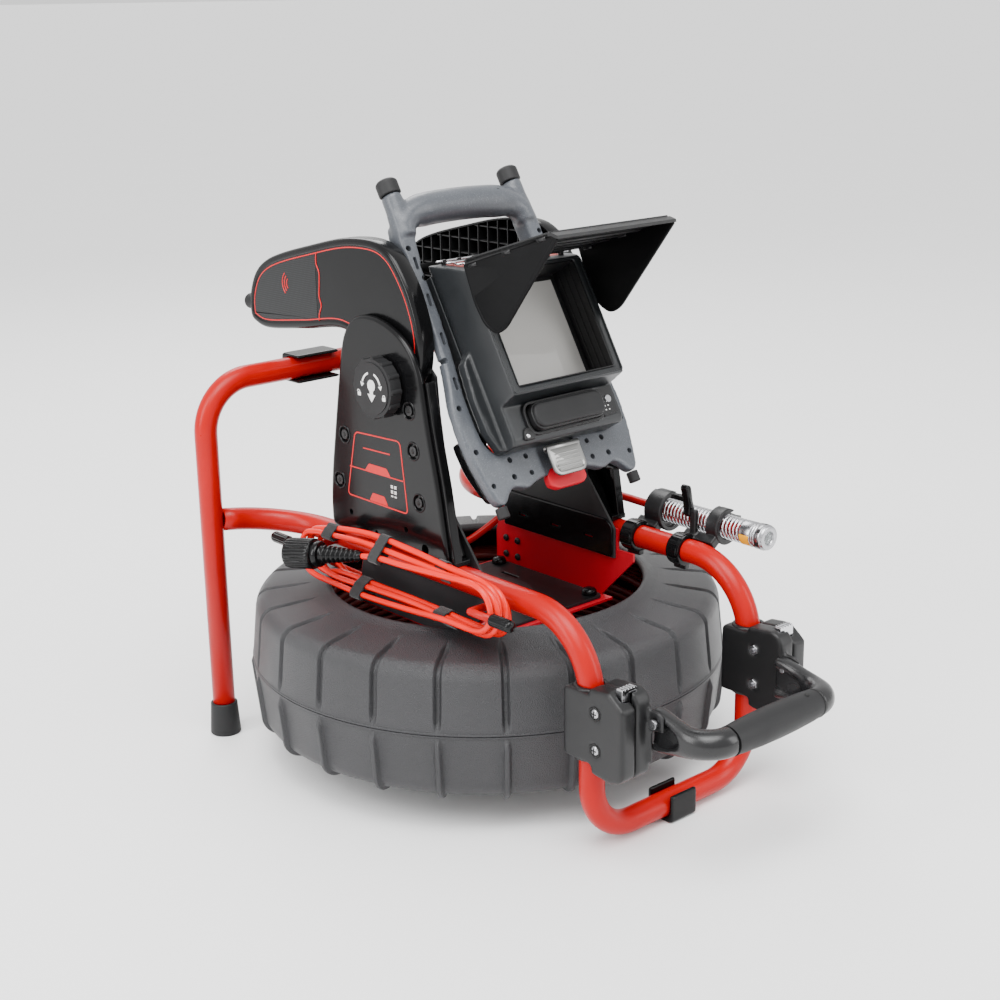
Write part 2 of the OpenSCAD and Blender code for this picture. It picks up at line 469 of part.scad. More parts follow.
// from the slip ring out behind the bracket's wing to the hank
hub_p = [[-20.4, 8.8, 175.3], [-34, 17, 175.3], [-50, 30, 175.3], [-65, 48, 176], [-77, 68, 178], [-86, 88, 181], [-94, 106, 186],
  [-103, 120, 192], [-114, 127, 199], [-125, 125, 206], [-131.4, 118, 211]];
module system_cable_lead() color([0.95, 0.25, 0.12]) at() { cord(lead_p, lead_r); cord(hub_p, lead_r); }
module cable_connector() color([0.05, 0.05, 0.05]) at() translate([-171, 6, 252]) rotate([0, 95.5, 111]) difference() {
  union() {
    cylinder(r1 = 5, r2 = 9.5, h = 50);
    translate([0, 0, 50]) cylinder(r = 14, h = 6);
    translate([0, 0, 56]) cylinder(r = 16.5, h = 34);
  }
  translate([0, 0, 74]) cylinder(r = 12, h = 20);
}
push_p = [[150, -118, 264], [150, -95, 264.5], [150, -70, 265], [150, -45, 264.5], [149, -20, 263], [147, 5, 260], [144, 30, 255], [140, 54, 247],
  [135, 76, 236], [128, 96, 222], [119, 113, 206], [106, 127, 190], [91, 141, 176], [70, 158, 166], [44, 176, 161], [14, 188, 160.5]];
module push_cable_lead() color([0.6, 0.1, 0.08]) at() cord(push_p, 4.5);

front_loop_tube();
rear_leg_frame();
leg_feet();
loop_foot_clip();
top_bar_clip();
hub_bracket();
bracket_cover();
frame_screws();
hub_shaft();
slip_ring();
hub_nut();
dock_plate_left();
dock_plate_right();
side_cover_left();
side_cover_right();
tilt_bolts();
lock_knob_left();
lock_knob_right();
drum_upper();
drum_lower();
drum_hub();
hub_bearings();
push_cable_coil();
push_cable_lead();
arm_left();
arm_right();
arm_cross_tube();
arm_end_knobs();
monitor_frame();
monitor_housing();
monitor_back();
screen_panel();
monitor_grip();
corner_caps();
battery_pack();
keypad();
power_button();
latch_flap();
sunshade_top();
sunshade_flaps();
clamp_outer_shells();
clamp_inner_shells();
clamp_screws();
release_button_left();
release_button_right();
handle_arms();
handle_grip();
hinge_pins();
camera_clip_rear();
camera_clip_front();
clip_lever();
camera_head();
camera_window();
camera_band();
camera_spring();
cable_cleat();
cleat_caps();
system_cable_hank();
system_cable_lead();
cable_connector();
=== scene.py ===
import bpy, bmesh, math, json, random
import numpy as np
from mathutils import Vector, Matrix


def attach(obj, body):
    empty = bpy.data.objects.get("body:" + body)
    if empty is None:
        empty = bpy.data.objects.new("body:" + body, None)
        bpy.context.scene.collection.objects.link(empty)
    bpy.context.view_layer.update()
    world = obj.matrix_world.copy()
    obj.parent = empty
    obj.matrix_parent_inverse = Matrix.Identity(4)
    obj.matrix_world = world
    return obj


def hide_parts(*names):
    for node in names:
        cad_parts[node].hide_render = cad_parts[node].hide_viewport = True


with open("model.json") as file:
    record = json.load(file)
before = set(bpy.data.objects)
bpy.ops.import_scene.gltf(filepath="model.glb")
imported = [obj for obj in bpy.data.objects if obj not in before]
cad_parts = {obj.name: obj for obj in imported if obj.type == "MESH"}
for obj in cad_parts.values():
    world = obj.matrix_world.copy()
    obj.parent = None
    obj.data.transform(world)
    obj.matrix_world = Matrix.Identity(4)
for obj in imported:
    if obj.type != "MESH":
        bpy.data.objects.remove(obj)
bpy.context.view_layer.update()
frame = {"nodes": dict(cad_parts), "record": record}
YO = 75.5
NODES = frame["nodes"]


def P(x, y, z):
    return Vector((x / 1000, (y + YO) / 1000, z / 1000))


LEAN = math.radians(30.5)
CL, SL = math.cos(LEAN), math.sin(LEAN)


def M(x, n, u):
    return P(x, -137.5 - n * CL + u * SL, 322 + n * SL + u * CL)


# ---------------------------------------------------------------- camera
cam_data = bpy.data.cameras.new("view_camera")
cam = bpy.data.objects.new("view_camera", cam_data)
bpy.context.scene.collection.objects.link(cam)
cam_data.lens, cam_data.sensor_width = 60.2, 36
cam_data.clip_start, cam_data.clip_end = 0.05, 6000
_a, _e, _r = math.radians(-41.598), math.radians(16.762), math.radians(-0.94)
_right = Vector((math.cos(_a), math.sin(_a), 0))
_back = Vector((math.sin(_a) * math.cos(_e), -math.cos(_a) * math.cos(_e), math.sin(_e)))
_up = _back.cross(_right)
_R = _right * math.cos(_r) + _up * math.sin(_r)
_U = _up * math.cos(_r) - _right * math.sin(_r)
_m = Matrix((_R, _U, _back)).transposed().to_4x4()
_m.translation = P(-1165.99, -1337.22, 812.41)
cam.matrix_world = _m
bpy.context.scene.camera = cam


# ---------------------------------------------------------------- mesh tools
def mesh_obj(name, verts, faces, smooth=True):
    me = bpy.data.meshes.new(name)
    me.from_pydata([tuple(v) for v in verts], [], faces)
    me.validate()
    o = bpy.data.objects.new(name, me)
    bpy.context.scene.collection.objects.link(o)
    if smooth:
        me.shade_smooth()
    return o


def fix_normals(o):
    bm = bmesh.new()
    bm.from_mesh(o.data)
    bmesh.ops.recalc_face_normals(bm, faces=bm.faces)
    bm.to_mesh(o.data)
    bm.free()
    return o


def put(o, body, mat=None):
    if mat is not None:
        o.data.materials.clear()
        o.data.materials.append(mat)
    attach(o, body)
    return o


def frames_along(pts):
    pts = [Vector(p) for p in pts]
    n = len(pts)
    tans = []
    for i in range(n):
        t = pts[min(i + 1, n - 1)] - pts[max(i - 1, 0)]
        tans.append(t.normalized())
    ref = Vector((0.03, 0.05, 1.0))
    if abs(tans[0].dot(ref.normalized())) > 0.95:
        ref = Vector((1, 0.1, 0))
    nrm = (ref - tans[0] * ref.dot(tans[0])).normalized()
    out = []
    for i in range(n):
        if i:
            nrm = (nrm - tans[i] * nrm.dot(tans[i])).normalized()
        out.append((pts[i], tans[i], nrm, tans[i].cross(nrm)))
    return out


def tube(name, pts, r, sides=12, closed=False, radii=None):
    """Round tube along points in metres; r in metres."""
    fr = frames_along(pts)
    V, F = [], []
    n = len(fr)
    for i, (p, t, a, b) in enumerate(fr):
        rr = radii[i] if radii is not None else r
        for k in range(sides):
            w = 2 * math.pi * k / sides
            V.append(p + a * (rr * math.cos(w)) + b * (rr * math.sin(w)))
    m = n if closed else n - 1
    for i in range(m):
        for k in range(sides):
            j = (i + 1) % n
            F.append((i * sides + k, i * sides + (k + 1) % sides, j * sides + (k + 1) % sides, j * sides + k))
    if not closed:
        F.append(tuple(reversed(range(sides))))
        F.append(tuple((n - 1) * sides + k for k in range(sides)))
    o = mesh_obj(name, V, F)
    if not closed:
        for p in o.data.polygons[-2:]:
            p.use_smooth = False
    return o


def spline(pts, step):
    """Centripetal Catmull-Rom through pts (any length units), sampled about every step."""
    p = [Vector(q) for q in pts]
    p = [p[0] * 2 - p[1]] + p + [p[-1] * 2 - p[-2]]
    out = []
    for i in range(1, len(p) - 2):
        p0, p1, p2, p3 = p[i - 1], p[i], p[i + 1], p[i + 2]
        t0 = 0.0
        t1 = t0 + max((p1 - p0).length, 1e-9) ** 0.5
        t2 = t1 + max((p2 - p1).length, 1e-9) ** 0.5
        t3 = t2 + max((p3 - p2).length, 1e-9) ** 0.5
        m = max(1, int(math.ceil((p2 - p1).length / step)))
        for j in range(m):
            t = t1 + (t2 - t1) * j / m
            A1 = p0 * ((t1 - t) / (t1 - t0)) + p1 * ((t - t0) / (t1 - t0))
            A2 = p1 * ((t2 - t) / (t2 - t1)) + p2 * ((t - t1) / (t2 - t1))
            A3 = p2 * ((t3 - t) / (t3 - t2)) + p3 * ((t - t2) / (t3 - t2))
            B1 = A1 * ((t2 - t) / (t2 - t0)) + A2 * ((t - t0) / (t2 - t0))
            B2 = A2 * ((t3 - t) / (t3 - t1)) + A3 * ((t - t1) / (t3 - t1))
            out.append(B1 * ((t2 - t) / (t2 - t1)) + B2 * ((t - t1) / (t2 - t1)))
    out.append(p[-2])
    return out


def even(pts, step):
    a = np.array([tuple(q) for q in pts])
    d = np.concatenate([[0], np.cumsum(np.linalg.norm(np.diff(a, axis=0), axis=1))])
    s = np.linspace(0, d[-1], max(2, int(round(d[-1] / step)) + 1))
    return [Vector((np.interp(q, d, a[:, 0]), np.interp(q, d, a[:, 1]), np.interp(q, d, a[:, 2]))) for q in s], float(d[-1])


def prism(name, poly, f, t0, t1, bev=0.0, segs=2):
    """Closed prism of a 2D polygon; f(a, b, t) gives a point in metres."""
    n = len(poly)
    V = [f(a, b, t0) for a, b in poly] + [f(a, b, t1) for a, b in poly]
    F = [tuple(reversed(range(n))), tuple(range(n, 2 * n))]
    F += [(i, (i + 1) % n, n + (i + 1) % n, n + i) for i in range(n)]
    o = mesh_obj(name, V, F, smooth=bev > 0)
    fix_normals(o)
    if bev:
        bevel(o, bev, segs)
    return o


def bevel(o, w, segs=2, angle=32):
    b = o.modifiers.new("edges", "BEVEL")
    b.width, b.segments, b.limit_method = w, segs, "ANGLE"
    b.angle_limit = math.radians(angle)
    b.harden_normals = True
    return o


def revolve(name, prof, origin, axis, side, n=48, closed=False):
    """prof: (radius, height) in mm along axis from origin (metres)."""
    axis, side = Vector(axis).normalized(), Vector(side).normalized()
    other = axis.cross(side)
    V, F = [], []
    m = len(prof)
    for k in range(n):
        w = 2 * math.pi * k / n
        d = side * math.cos(w) + other * math.sin(w)
        for r, h in prof:
            V.append(Vector(origin) + axis * (h / 1000) + d * (r / 1000))
    for k in range(n):
        j = (k + 1) % n
        for i in range(m if closed else m - 1):
            i2 = (i + 1) % m
            F.append((k * m + i, k * m + i2, j * m + i2, j * m + i))
    if not closed:
        if prof[0][0] > 1e-6:
            F.append(tuple(k * m for k in range(n)))
        if prof[-1][0] > 1e-6:
            F.append(tuple(k * m + m - 1 for k in reversed(range(n))))
    o = mesh_obj(name, V, F)
    bm = bmesh.new()
    bm.from_mesh(o.data)
    bmesh.ops.remove_doubles(bm, verts=bm.verts, dist=1e-6)
    bmesh.ops.recalc_face_normals(bm, faces=bm.faces)
    bm.to_mesh(o.data)
    bm.free()
    o.data.shade_smooth()
    return o


def join(name, objs):
    bm = bmesh.new()
    mats = []
    for o in objs:
        bpy.context.view_layer.update()
        base = len(mats)
        mats += list(o.data.materials) or [None]
        t = o.data.copy()
        t.transform(o.matrix_world)
        for p in t.polygons:
            p.material_index += base
        bm.from_mesh(t)
        bpy.data.meshes.remove(t)
    me = bpy.data.meshes.new(name)
    bm.to_mesh(me)
    bm.free()
    for m in mats:
        if m:
            me.materials.append(m)
    for o in objs:
        bpy.data.objects.remove(o)
    o = bpy.data.objects.new(name, me)
    bpy.context.scene.collection.objects.link(o)
    return o


def box_mesh(lo, hi, f):
    """Box between two 3-corner lists through map f."""
    V = [f(x, y, z) for x in (lo[0], hi[0]) for y in (lo[1], hi[1]) for z in (lo[2], hi[2])]
    F = [(0, 1, 3, 2), (4, 6, 7, 5), (0, 4, 5, 1), (2, 3, 7, 6), (0, 2, 6, 4), (1, 5, 7, 3)]
    return V, F


def boxes(name, items, f, bev=0.0003, segs=1):
    V, F = [], []
    for lo, hi in items:
        v, q = box_mesh(lo, hi, f)
        k = len(V)
        V += v
        F += [tuple(i + k for i in t) for t in q]
    o = mesh_obj(name, V, F)
    fix_normals(o)
    if bev:
        bevel(o, bev, segs)
    return o


def rounded_cad(name, sources, voxel, iters, cuts=(), adds=(), factor=0.5):
    """A moulded version of CAD nodes: joined, remeshed and smoothed, so that its edges are rounded."""
    bm = bmesh.new()
    for s in sources:
        t = (NODES[s].data if isinstance(s, str) else s.data).copy()
        bm.from_mesh(t)
        bpy.data.meshes.remove(t)
    for a in adds:
        bm.from_mesh(a.data)
    me = bpy.data.meshes.new(name)
    bmesh.ops.remove_doubles(bm, verts=bm.verts, dist=1e-6)
    bm.to_mesh(me)
    bm.free()
    o = bpy.data.objects.new(name, me)
    bpy.context.scene.collection.objects.link(o)
    for a in adds:
        bpy.data.objects.remove(a)
    mods = []
    r = o.modifiers.new("mould", "REMESH")
    r.mode, r.voxel_size, r.adaptivity = "VOXEL", voxel, 0.0
    for c in cuts:
        b = o.modifiers.new("cut", "BOOLEAN")
        b.operation, b.object, b.solver = "DIFFERENCE", c, "EXACT"
    if cuts:
        r2 = o.modifiers.new("mould2", "REMESH")
        r2.mode, r2.voxel_size = "VOXEL", voxel
    s = o.modifiers.new("round", "SMOOTH")
    s.factor, s.iterations = factor, iters
    bpy.context.view_layer.update()
    dg = bpy.context.evaluated_depsgraph_get()
    new = bpy.data.meshes.new_from_object(o.evaluated_get(dg))
    bpy.data.objects.remove(o)
    o2 = bpy.data.objects.new(name, new)
    bpy.context.scene.collection.objects.link(o2)
    new.materials.clear()
    new.shade_smooth()
    for c in cuts:
        bpy.data.objects.remove(c)
    return o2


# ---------------------------------------------------------------- materials
def lin(c):
    return [((v / 255 + 0.055) / 1.055) ** 2.4 if v > 10 else v / 255 / 12.92 for v in c] + [1]


def mat(name, rgb, rough=0.4, metal=0.0, vary=0.12, vscale=18.0, bump=0.0, bscale=900.0, bdist=0.0003,
        rvary=0.08, coat=0.0, coat_rough=0.05, spec=0.5, stretch=None, fleck=None, wear=None, cells=None,
        sheen=0.0, trans=0.0, ior=1.45, crease_shade=0.0):
    m = bpy.data.materials.new(name)
    m.use_nodes = True
    t = m.node_tree
    N, L = t.nodes, t.links
    b = N["Principled BSDF"]
    b.inputs["Metallic"].default_value = metal
    b.inputs["Coat Weight"].default_value = coat
    b.inputs["Coat Roughness"].default_value = coat_rough
    b.inputs["Specular IOR Level"].default_value = spec
    b.inputs["Sheen Weight"].default_value = sheen
    b.inputs["Transmission Weight"].default_value = trans
    b.inputs["IOR"].default_value = ior
    tc = N.new("ShaderNodeTexCoord")
    src = tc.outputs["Object"]
    if stretch:
        mp = N.new("ShaderNodeMapping")
        mp.inputs["Scale"].default_value = stretch
        L.new(src, mp.inputs["Vector"])
        ssrc = mp.outputs["Vector"]
    else:
        ssrc = src
    n1 = N.new("ShaderNodeTexNoise")
    n1.inputs["Scale"].default_value = vscale
    n1.inputs["Detail"].default_value = 5
    L.new(src, n1.inputs["Vector"])
    ramp = N.new("ShaderNodeValToRGB")
    c = lin(rgb)
    lo = [max(0, v * (1 - vary)) for v in c[:3]] + [1]
    hi = [min(1, v * (1 + vary)) for v in c[:3]] + [1]
    ramp.color_ramp.elements[0].color, ramp.color_ramp.elements[1].color = lo, hi
    ramp.color_ramp.elements[0].position, ramp.color_ramp.elements[1].position = 0.3, 0.7
    L.new(n1.outputs["Fac"], ramp.inputs["Fac"])
    col = ramp.outputs["Color"]
    n2 = N.new("ShaderNodeTexNoise")
    n2.inputs["Scale"].default_value = bscale
    n2.inputs["Detail"].default_value = 3
    L.new(ssrc, n2.inputs["Vector"])
    if fleck:
        fr = N.new("ShaderNodeValToRGB")
        fr.color_ramp.elements[0].position, fr.color_ramp.elements[1].position = fleck[1], fleck[1] + 0.12
        fr.color_ramp.elements[0].color, fr.color_ramp.elements[1].color = (0, 0, 0, 1), (1, 1, 1, 1)
        L.new(n2.outputs["Fac"], fr.inputs["Fac"])
        mx = N.new("ShaderNodeMix")
        mx.data_type = "RGBA"
        L.new(fr.outputs["Color"], mx.inputs[0])
        L.new(col, mx.inputs[6])
        mx.inputs[7].default_value = lin(fleck[0])
        col = mx.outputs[2]
    # painted shade: the colour is darkened in creases and hollows (low pointiness), where shade falls
    if crease_shade:
        geo = N.new("ShaderNodeNewGeometry")
        gr = N.new("ShaderNodeValToRGB")
        gr.color_ramp.elements[0].position, gr.color_ramp.elements[1].position = 0.42, 0.5
        gr.color_ramp.elements[0].color = (1 - crease_shade, 1 - crease_shade, 1 - crease_shade, 1)
        gr.color_ramp.elements[1].color = (1, 1, 1, 1)
        L.new(geo.outputs["Pointiness"], gr.inputs["Fac"])
        mg = N.new("ShaderNodeMix")
        mg.data_type, mg.blend_type = "RGBA", "MULTIPLY"
        mg.inputs[0].default_value = 1.0
        L.new(col, mg.inputs[6])
        L.new(gr.outputs["Color"], mg.inputs[7])
        col = mg.outputs[2]
    if wear:
        geo = N.new("ShaderNodeNewGeometry")
        wr = N.new("ShaderNodeValToRGB")
        wr.color_ramp.elements[0].position, wr.color_ramp.elements[1].position = 0.53, 0.6
        L.new(geo.outputs["Pointiness"], wr.inputs["Fac"])
        mw = N.new("ShaderNodeMix")
        mw.data_type = "RGBA"
        L.new(wr.outputs["Color"], mw.inputs[0])
        L.new(col, mw.inputs[6])
        mw.inputs[7].default_value = lin(wear)
        col = mw.outputs[2]
    L.new(col, b.inputs["Base Color"])
    rr = N.new("ShaderNodeMapRange")
    rr.inputs["To Min"].default_value = max(0.02, rough - rvary)
    rr.inputs["To Max"].default_value = min(1.0, rough + rvary)
    n3 = N.new("ShaderNodeTexNoise")
    n3.inputs["Scale"].default_value = vscale * 2.3
    n3.inputs["Detail"].default_value = 6
    L.new(src, n3.inputs["Vector"])
    L.new(n3.outputs["Fac"], rr.inputs["Value"])
    L.new(rr.outputs["Result"], b.inputs["Roughness"])
    if bump:
        bp = N.new("ShaderNodeBump")
        bp.inputs["Strength"].default_value = bump
        bp.inputs["Distance"].default_value = bdist
        if cells:
            vo = N.new("ShaderNodeTexVoronoi")
            vo.inputs["Scale"].default_value = cells
            L.new(src, vo.inputs["Vector"])
            ad = N.new("ShaderNodeMath")
            ad.operation = "ADD"
            L.new(n2.outputs["Fac"], ad.inputs[0])
            L.new(vo.outputs["Distance"], ad.inputs[1])
            L.new(ad.outputs[0], bp.inputs["Height"])
        else:
            L.new(n2.outputs["Fac"], bp.inputs["Height"])
        L.new(bp.outputs["Normal"], b.inputs["Normal"])
    return m


MT = {
    "tube_red": mat("powder_red", (168, 0, 1), 0.30, vary=0.06, bump=0.12, bscale=420, bdist=0.0002, rvary=0.06, spec=0.25),
    "sheet_red": mat("sheet_red", (190, 14, 36), 0.42, vary=0.08, bump=0.15, bscale=600, bdist=0.0002, spec=0.3),
    "sheet_black": mat("sheet_black", (17, 17, 18), 0.36, spec=0.32, vary=0.2, bump=0.25, bscale=1300, bdist=0.0002, wear=(70, 70, 72)),
    # moulded black: painted shade darkens its creases
    "plastic_black": mat("moulded_black", (20, 20, 21), 0.38, vary=0.18, bump=0.3, bscale=1500, bdist=0.0002, cells=2200, crease_shade=0.3, spec=0.42),
    "gloss_black": mat("gloss_black", (11, 11, 12), 0.20, vary=0.2, bump=0.04, bscale=260, bdist=0.0002, coat=0.1, coat_rough=0.08, rvary=0.06, spec=0.2),
    "arm_black": mat("arm_black", (22, 22, 23), 0.27, vary=0.18, bump=0.12, bscale=1500, bdist=0.0001, spec=0.5),
    "flap_black": mat("flap_black", (7, 7, 8), 0.5, vary=0.2, bump=0.3, bscale=1500, bdist=0.0002, cells=2200, spec=0.12),
    "rubber_black": mat("soft_rubber", (25, 25, 26), 0.55, vary=0.16, bump=0.3, bscale=1800, bdist=0.0002, spec=0.35, rvary=0.1),
    # drum grain: painted shade darkens its grooves and creases
    "drum_grey": mat("drum_grain", (43, 43, 45), 0.40, vary=0.10, vscale=9, bump=0.8, bscale=650, bdist=0.0007, cells=1000, spec=0.5, crease_shade=0.45),
    "monitor_grey": mat("monitor_grey", (70, 73, 78), 0.34, vary=0.08, bump=0.25, bscale=1700, bdist=0.00015, fleck=((132, 136, 142), 0.60), spec=0.5),
    "housing_grey": mat("housing_grey", (27, 29, 31), 0.36, vary=0.10, bump=0.35, bscale=1500, bdist=0.0002),
    "steel": mat("brushed_steel", (172, 172, 175), 0.28, metal=1.0, vary=0.1, bump=0.12, bscale=700, stretch=(1, 1, 12), bdist=0.0001),
    "chrome_steel": mat("bright_steel", (205, 205, 208), 0.12, metal=1.0, vary=0.06, bump=0.05, bscale=900, bdist=0.0001, rvary=0.05),
    "brass": mat("turned_brass", (190, 150, 82), 0.25, metal=1.0, vary=0.1, bump=0.1, bscale=800, bdist=0.0001),
    "cable_orange": mat("cable_orange", (222, 16, 2), 0.22, vary=0.06, vscale=30, bump=0.06, bscale=300, bdist=0.0002, rvary=0.05, spec=0.4),
    # darker, browner copy of the push cable's red for its turns inside the drum: painted shade
    "push_cable": mat("push_cable", (92, 24, 20), 0.42, vary=0.25, vscale=40, bump=0.2, bscale=900, bdist=0.0002),
    "band_yellow": mat("yellow_film", (236, 164, 4), 0.3, vary=0.06, bump=0.05, bscale=600, coat=0.3),
}
GLASS = mat("clear_window", (225, 232, 235), 0.05, vary=0.03, trans=0.85, ior=1.7, rvary=0.02)
# light grey base colour: the screen's own grey plus a painted reflection of the bright surroundings on the glossy glass
SCREEN = mat("display_glass", (192, 190, 186), 0.2, vary=0.05, vscale=6, bump=0.02, bscale=900, bdist=0.00005, coat=1.0, coat_rough=0.03, rvary=0.05)
WHITE = mat("white_print", (222, 222, 220), 0.45, vary=0.05, vscale=200, bump=0.05, bscale=1200)
REDLINE = mat("red_print", (196, 6, 14), 0.4, vary=0.06, vscale=120, bump=0.05, bscale=1200)
VELCRO = mat("hook_strap", (22, 22, 23), 0.85, vary=0.35, vscale=400, bump=0.9, bscale=2600, bdist=0.0004, sheen=0.3, spec=0.2)
# dark colour for two things: the real dark seams and joints on the grip, and painted shade in holes, sockets and
# recesses
SHADE_AND_SEAM_DARK = mat("deep_shadow", (9, 9, 9), 0.7, vary=0.3, bump=0.1, bscale=900)
SILVER = mat("satin_silver", (150, 150, 148), 0.30, metal=0.9, vary=0.07, bump=0.12, bscale=1400, bdist=0.0001)
LED = mat("led_white", (235, 235, 225), 0.2, vary=0.04, bump=0.05)


def carbon():
    m = mat("carbon_label", (30, 31, 33), 0.32, vary=0.15, bump=0.0, coat=0.15, coat_rough=0.15, spec=0.25)
    t = m.node_tree
    N, L = t.nodes, t.links
    b = N["Principled BSDF"]
    tc = N.new("ShaderNodeTexCoord")
    sp = N.new("ShaderNodeSeparateXYZ")
    L.new(tc.outputs["Object"], sp.inputs[0])

    def wave(sock, sign):
        a = N.new("ShaderNodeMath")
        a.operation = "MULTIPLY_ADD"
        L.new(sp.outputs["Y"], a.inputs[0])
        a.inputs[1].default_value = sign
        L.new(sp.outputs["Z"], a.inputs[2])
        s = N.new("ShaderNodeMath")
        s.operation = "MULTIPLY"
        L.new(a.outputs[0], s.inputs[0])
        s.inputs[1].default_value = 1300.0
        w = N.new("ShaderNodeMath")
        w.operation = "SINE"
        L.new(s.outputs[0], w.inputs[0])
        return w.outputs[0]
    mu = N.new("ShaderNodeMath")
    mu.operation = "MULTIPLY"
    L.new(wave(0, 1.0), mu.inputs[0])
    L.new(wave(1, -1.0), mu.inputs[1])
    r = N.new("ShaderNodeValToRGB")
    r.color_ramp.elements[0].color, r.color_ramp.elements[1].color = lin((13, 14, 15)), lin((40, 42, 44))
    r.color_ramp.elements[0].position, r.color_ramp.elements[1].position = 0.45, 0.6
    L.new(mu.outputs[0], r.inputs["Fac"])
    L.new(r.outputs["Color"], b.inputs["Base Color"])
    bp = N.new("ShaderNodeBump")
    bp.inputs["Strength"].default_value = 0.15
    bp.inputs["Distance"].default_value = 0.0001
    L.new(mu.outputs[0], bp.inputs["Height"])
    L.new(bp.outputs["Normal"], b.inputs["Normal"])
    return m


CARBON = carbon()


# ---------------------------------------------------------------- carried-over CAD nodes
def dress(name, material=None, bev=0.0006, segs=2, angle=33, dissolve=True):
    o = NODES[name]
    me = o.data
    for k in ("custom_normal", "sharp_edge", "sharp_face"):
        if k in me.attributes:
            me.attributes.remove(me.attributes[k])
    me.shade_smooth()
    w = o.modifiers.new("weld", "WELD")
    w.merge_threshold = 0.00002
    if dissolve:
        d = o.modifiers.new("flat", "DECIMATE")
        d.decimate_type, d.angle_limit = "DISSOLVE", math.radians(0.6)
    if bev:
        b = o.modifiers.new("edges", "BEVEL")
        b.width, b.segments, b.limit_method = bev, segs, "ANGLE"
        b.angle_limit = math.radians(angle)
        b.harden_normals = True
        b.use_clamp_overlap = True
    me.materials.clear()
    me.materials.append(material)
    return o


SLOT = {s["node"]: s["material_slot"] for s in frame["record"]["subparts"]}


def V3(p):
    return P(*p)


# ---------------------------------------------------------------- system cable (a cord): hub, hank, connector
CR = 3.25
hub_p = [[-20.4, 8.8, 175.3], [-34, 17, 175.3], [-50, 30, 175.3], [-65, 48, 176], [-77, 68, 178], [-86, 88, 181], [-94, 106, 186],
         [-103, 120, 192], [-114, 127, 199], [-125, 125, 206], [-131.4, 118, 211]]
lead_p = [[-166.3, -52, 256], [-166.3, -36, 255.5], [-166.8, -22, 255], [-168, -11, 254], [-169.5, -2, 253], [-171, 6, 252]]


def hank_turn(i):
    """Control points of turn i (0 nearest the tube): bottom run forward, front turn up, top run back, rear turn down."""
    X0 = -134.5 - 6.6 * i
    q = i - 2
    ft = [(-168 + [2, -1, 3, -3, 0][i]), 235.5 - [9, 2, -1, 1, -3][i] * 1.0, [22.5, 23.5, 25, 24.5, 24][i]]
    rt = [(101 + [0, 3, -2, 2, 0][i]), 231.5 - [6, 1, -3, 2, 4][i] * 1.0, [22.5, 24.5, 23, 25, 22][i]]
    zb = [[-2, -3, -4, -2], [-1, -2, -2, 0], [1, 2, 3, 2], [3, 5, 6, 3], [-3, -5, -3, 0]][i]
    zt = [[1, 2, 2, 1], [4, 8, 10, 5], [3, 9, 12, 6], [1, 4, 6, 3], [0, 1, 0, 0]][i]
    pts = []
    ybs = [70, 10, -60, -120]
    zb0, zb1 = rt[1] - rt[2], ft[1] - ft[2]
    for k, y in enumerate(ybs):
        f = (rt[0] - y) / (rt[0] - ft[0])
        pts.append((y, zb0 + (zb1 - zb0) * f + zb[k], 0.02 + 0.42 * f))
    for k, a in enumerate(range(-90, 91, 30)):
        w = math.radians(a)
        pts.append((ft[0] - ft[2] * math.cos(w), ft[1] + ft[2] * math.sin(w), 0.44 + 0.06 * (k + 1) / 8))
    for k, y in enumerate(reversed(ybs)):
        f = (y - ft[0]) / (rt[0] - ft[0])
        zt0, zt1 = ft[1] + ft[2], rt[1] + rt[2]
        pts.append((y, zt0 + (zt1 - zt0) * f + zt[k], 0.5 + 0.42 * f))
    for k, a in enumerate(range(90, -91, -30)):
        w = math.radians(a)
        pts.append((rt[0] + rt[2] * math.cos(w), rt[1] + rt[2] * math.sin(w), 0.92 + 0.1 * (k + 1) / 8))
    return [(X0 - 6.6 * t, y, z) for y, z, t in pts]


cord_pts = [tuple(p) for p in hub_p]
for i in range(5):
    h = hank_turn(i)
    if i == 0:
        cord_pts += [(-134.0, 101, 214.5)]
    if i < 4:
        cord_pts += h
    else:
        cord_pts += [p for k, p in enumerate(h) if k < 12]
cord_pts += [(-165.6, -86, 258)] + [tuple(p) for p in lead_p]
cable_path, cable_len = even(spline([V3(p) for p in cord_pts], 0.003), 0.004)
cable = tube("system_cable", cable_path, CR / 1000, 12)
put(cable, "frame", MT["cable_orange"])


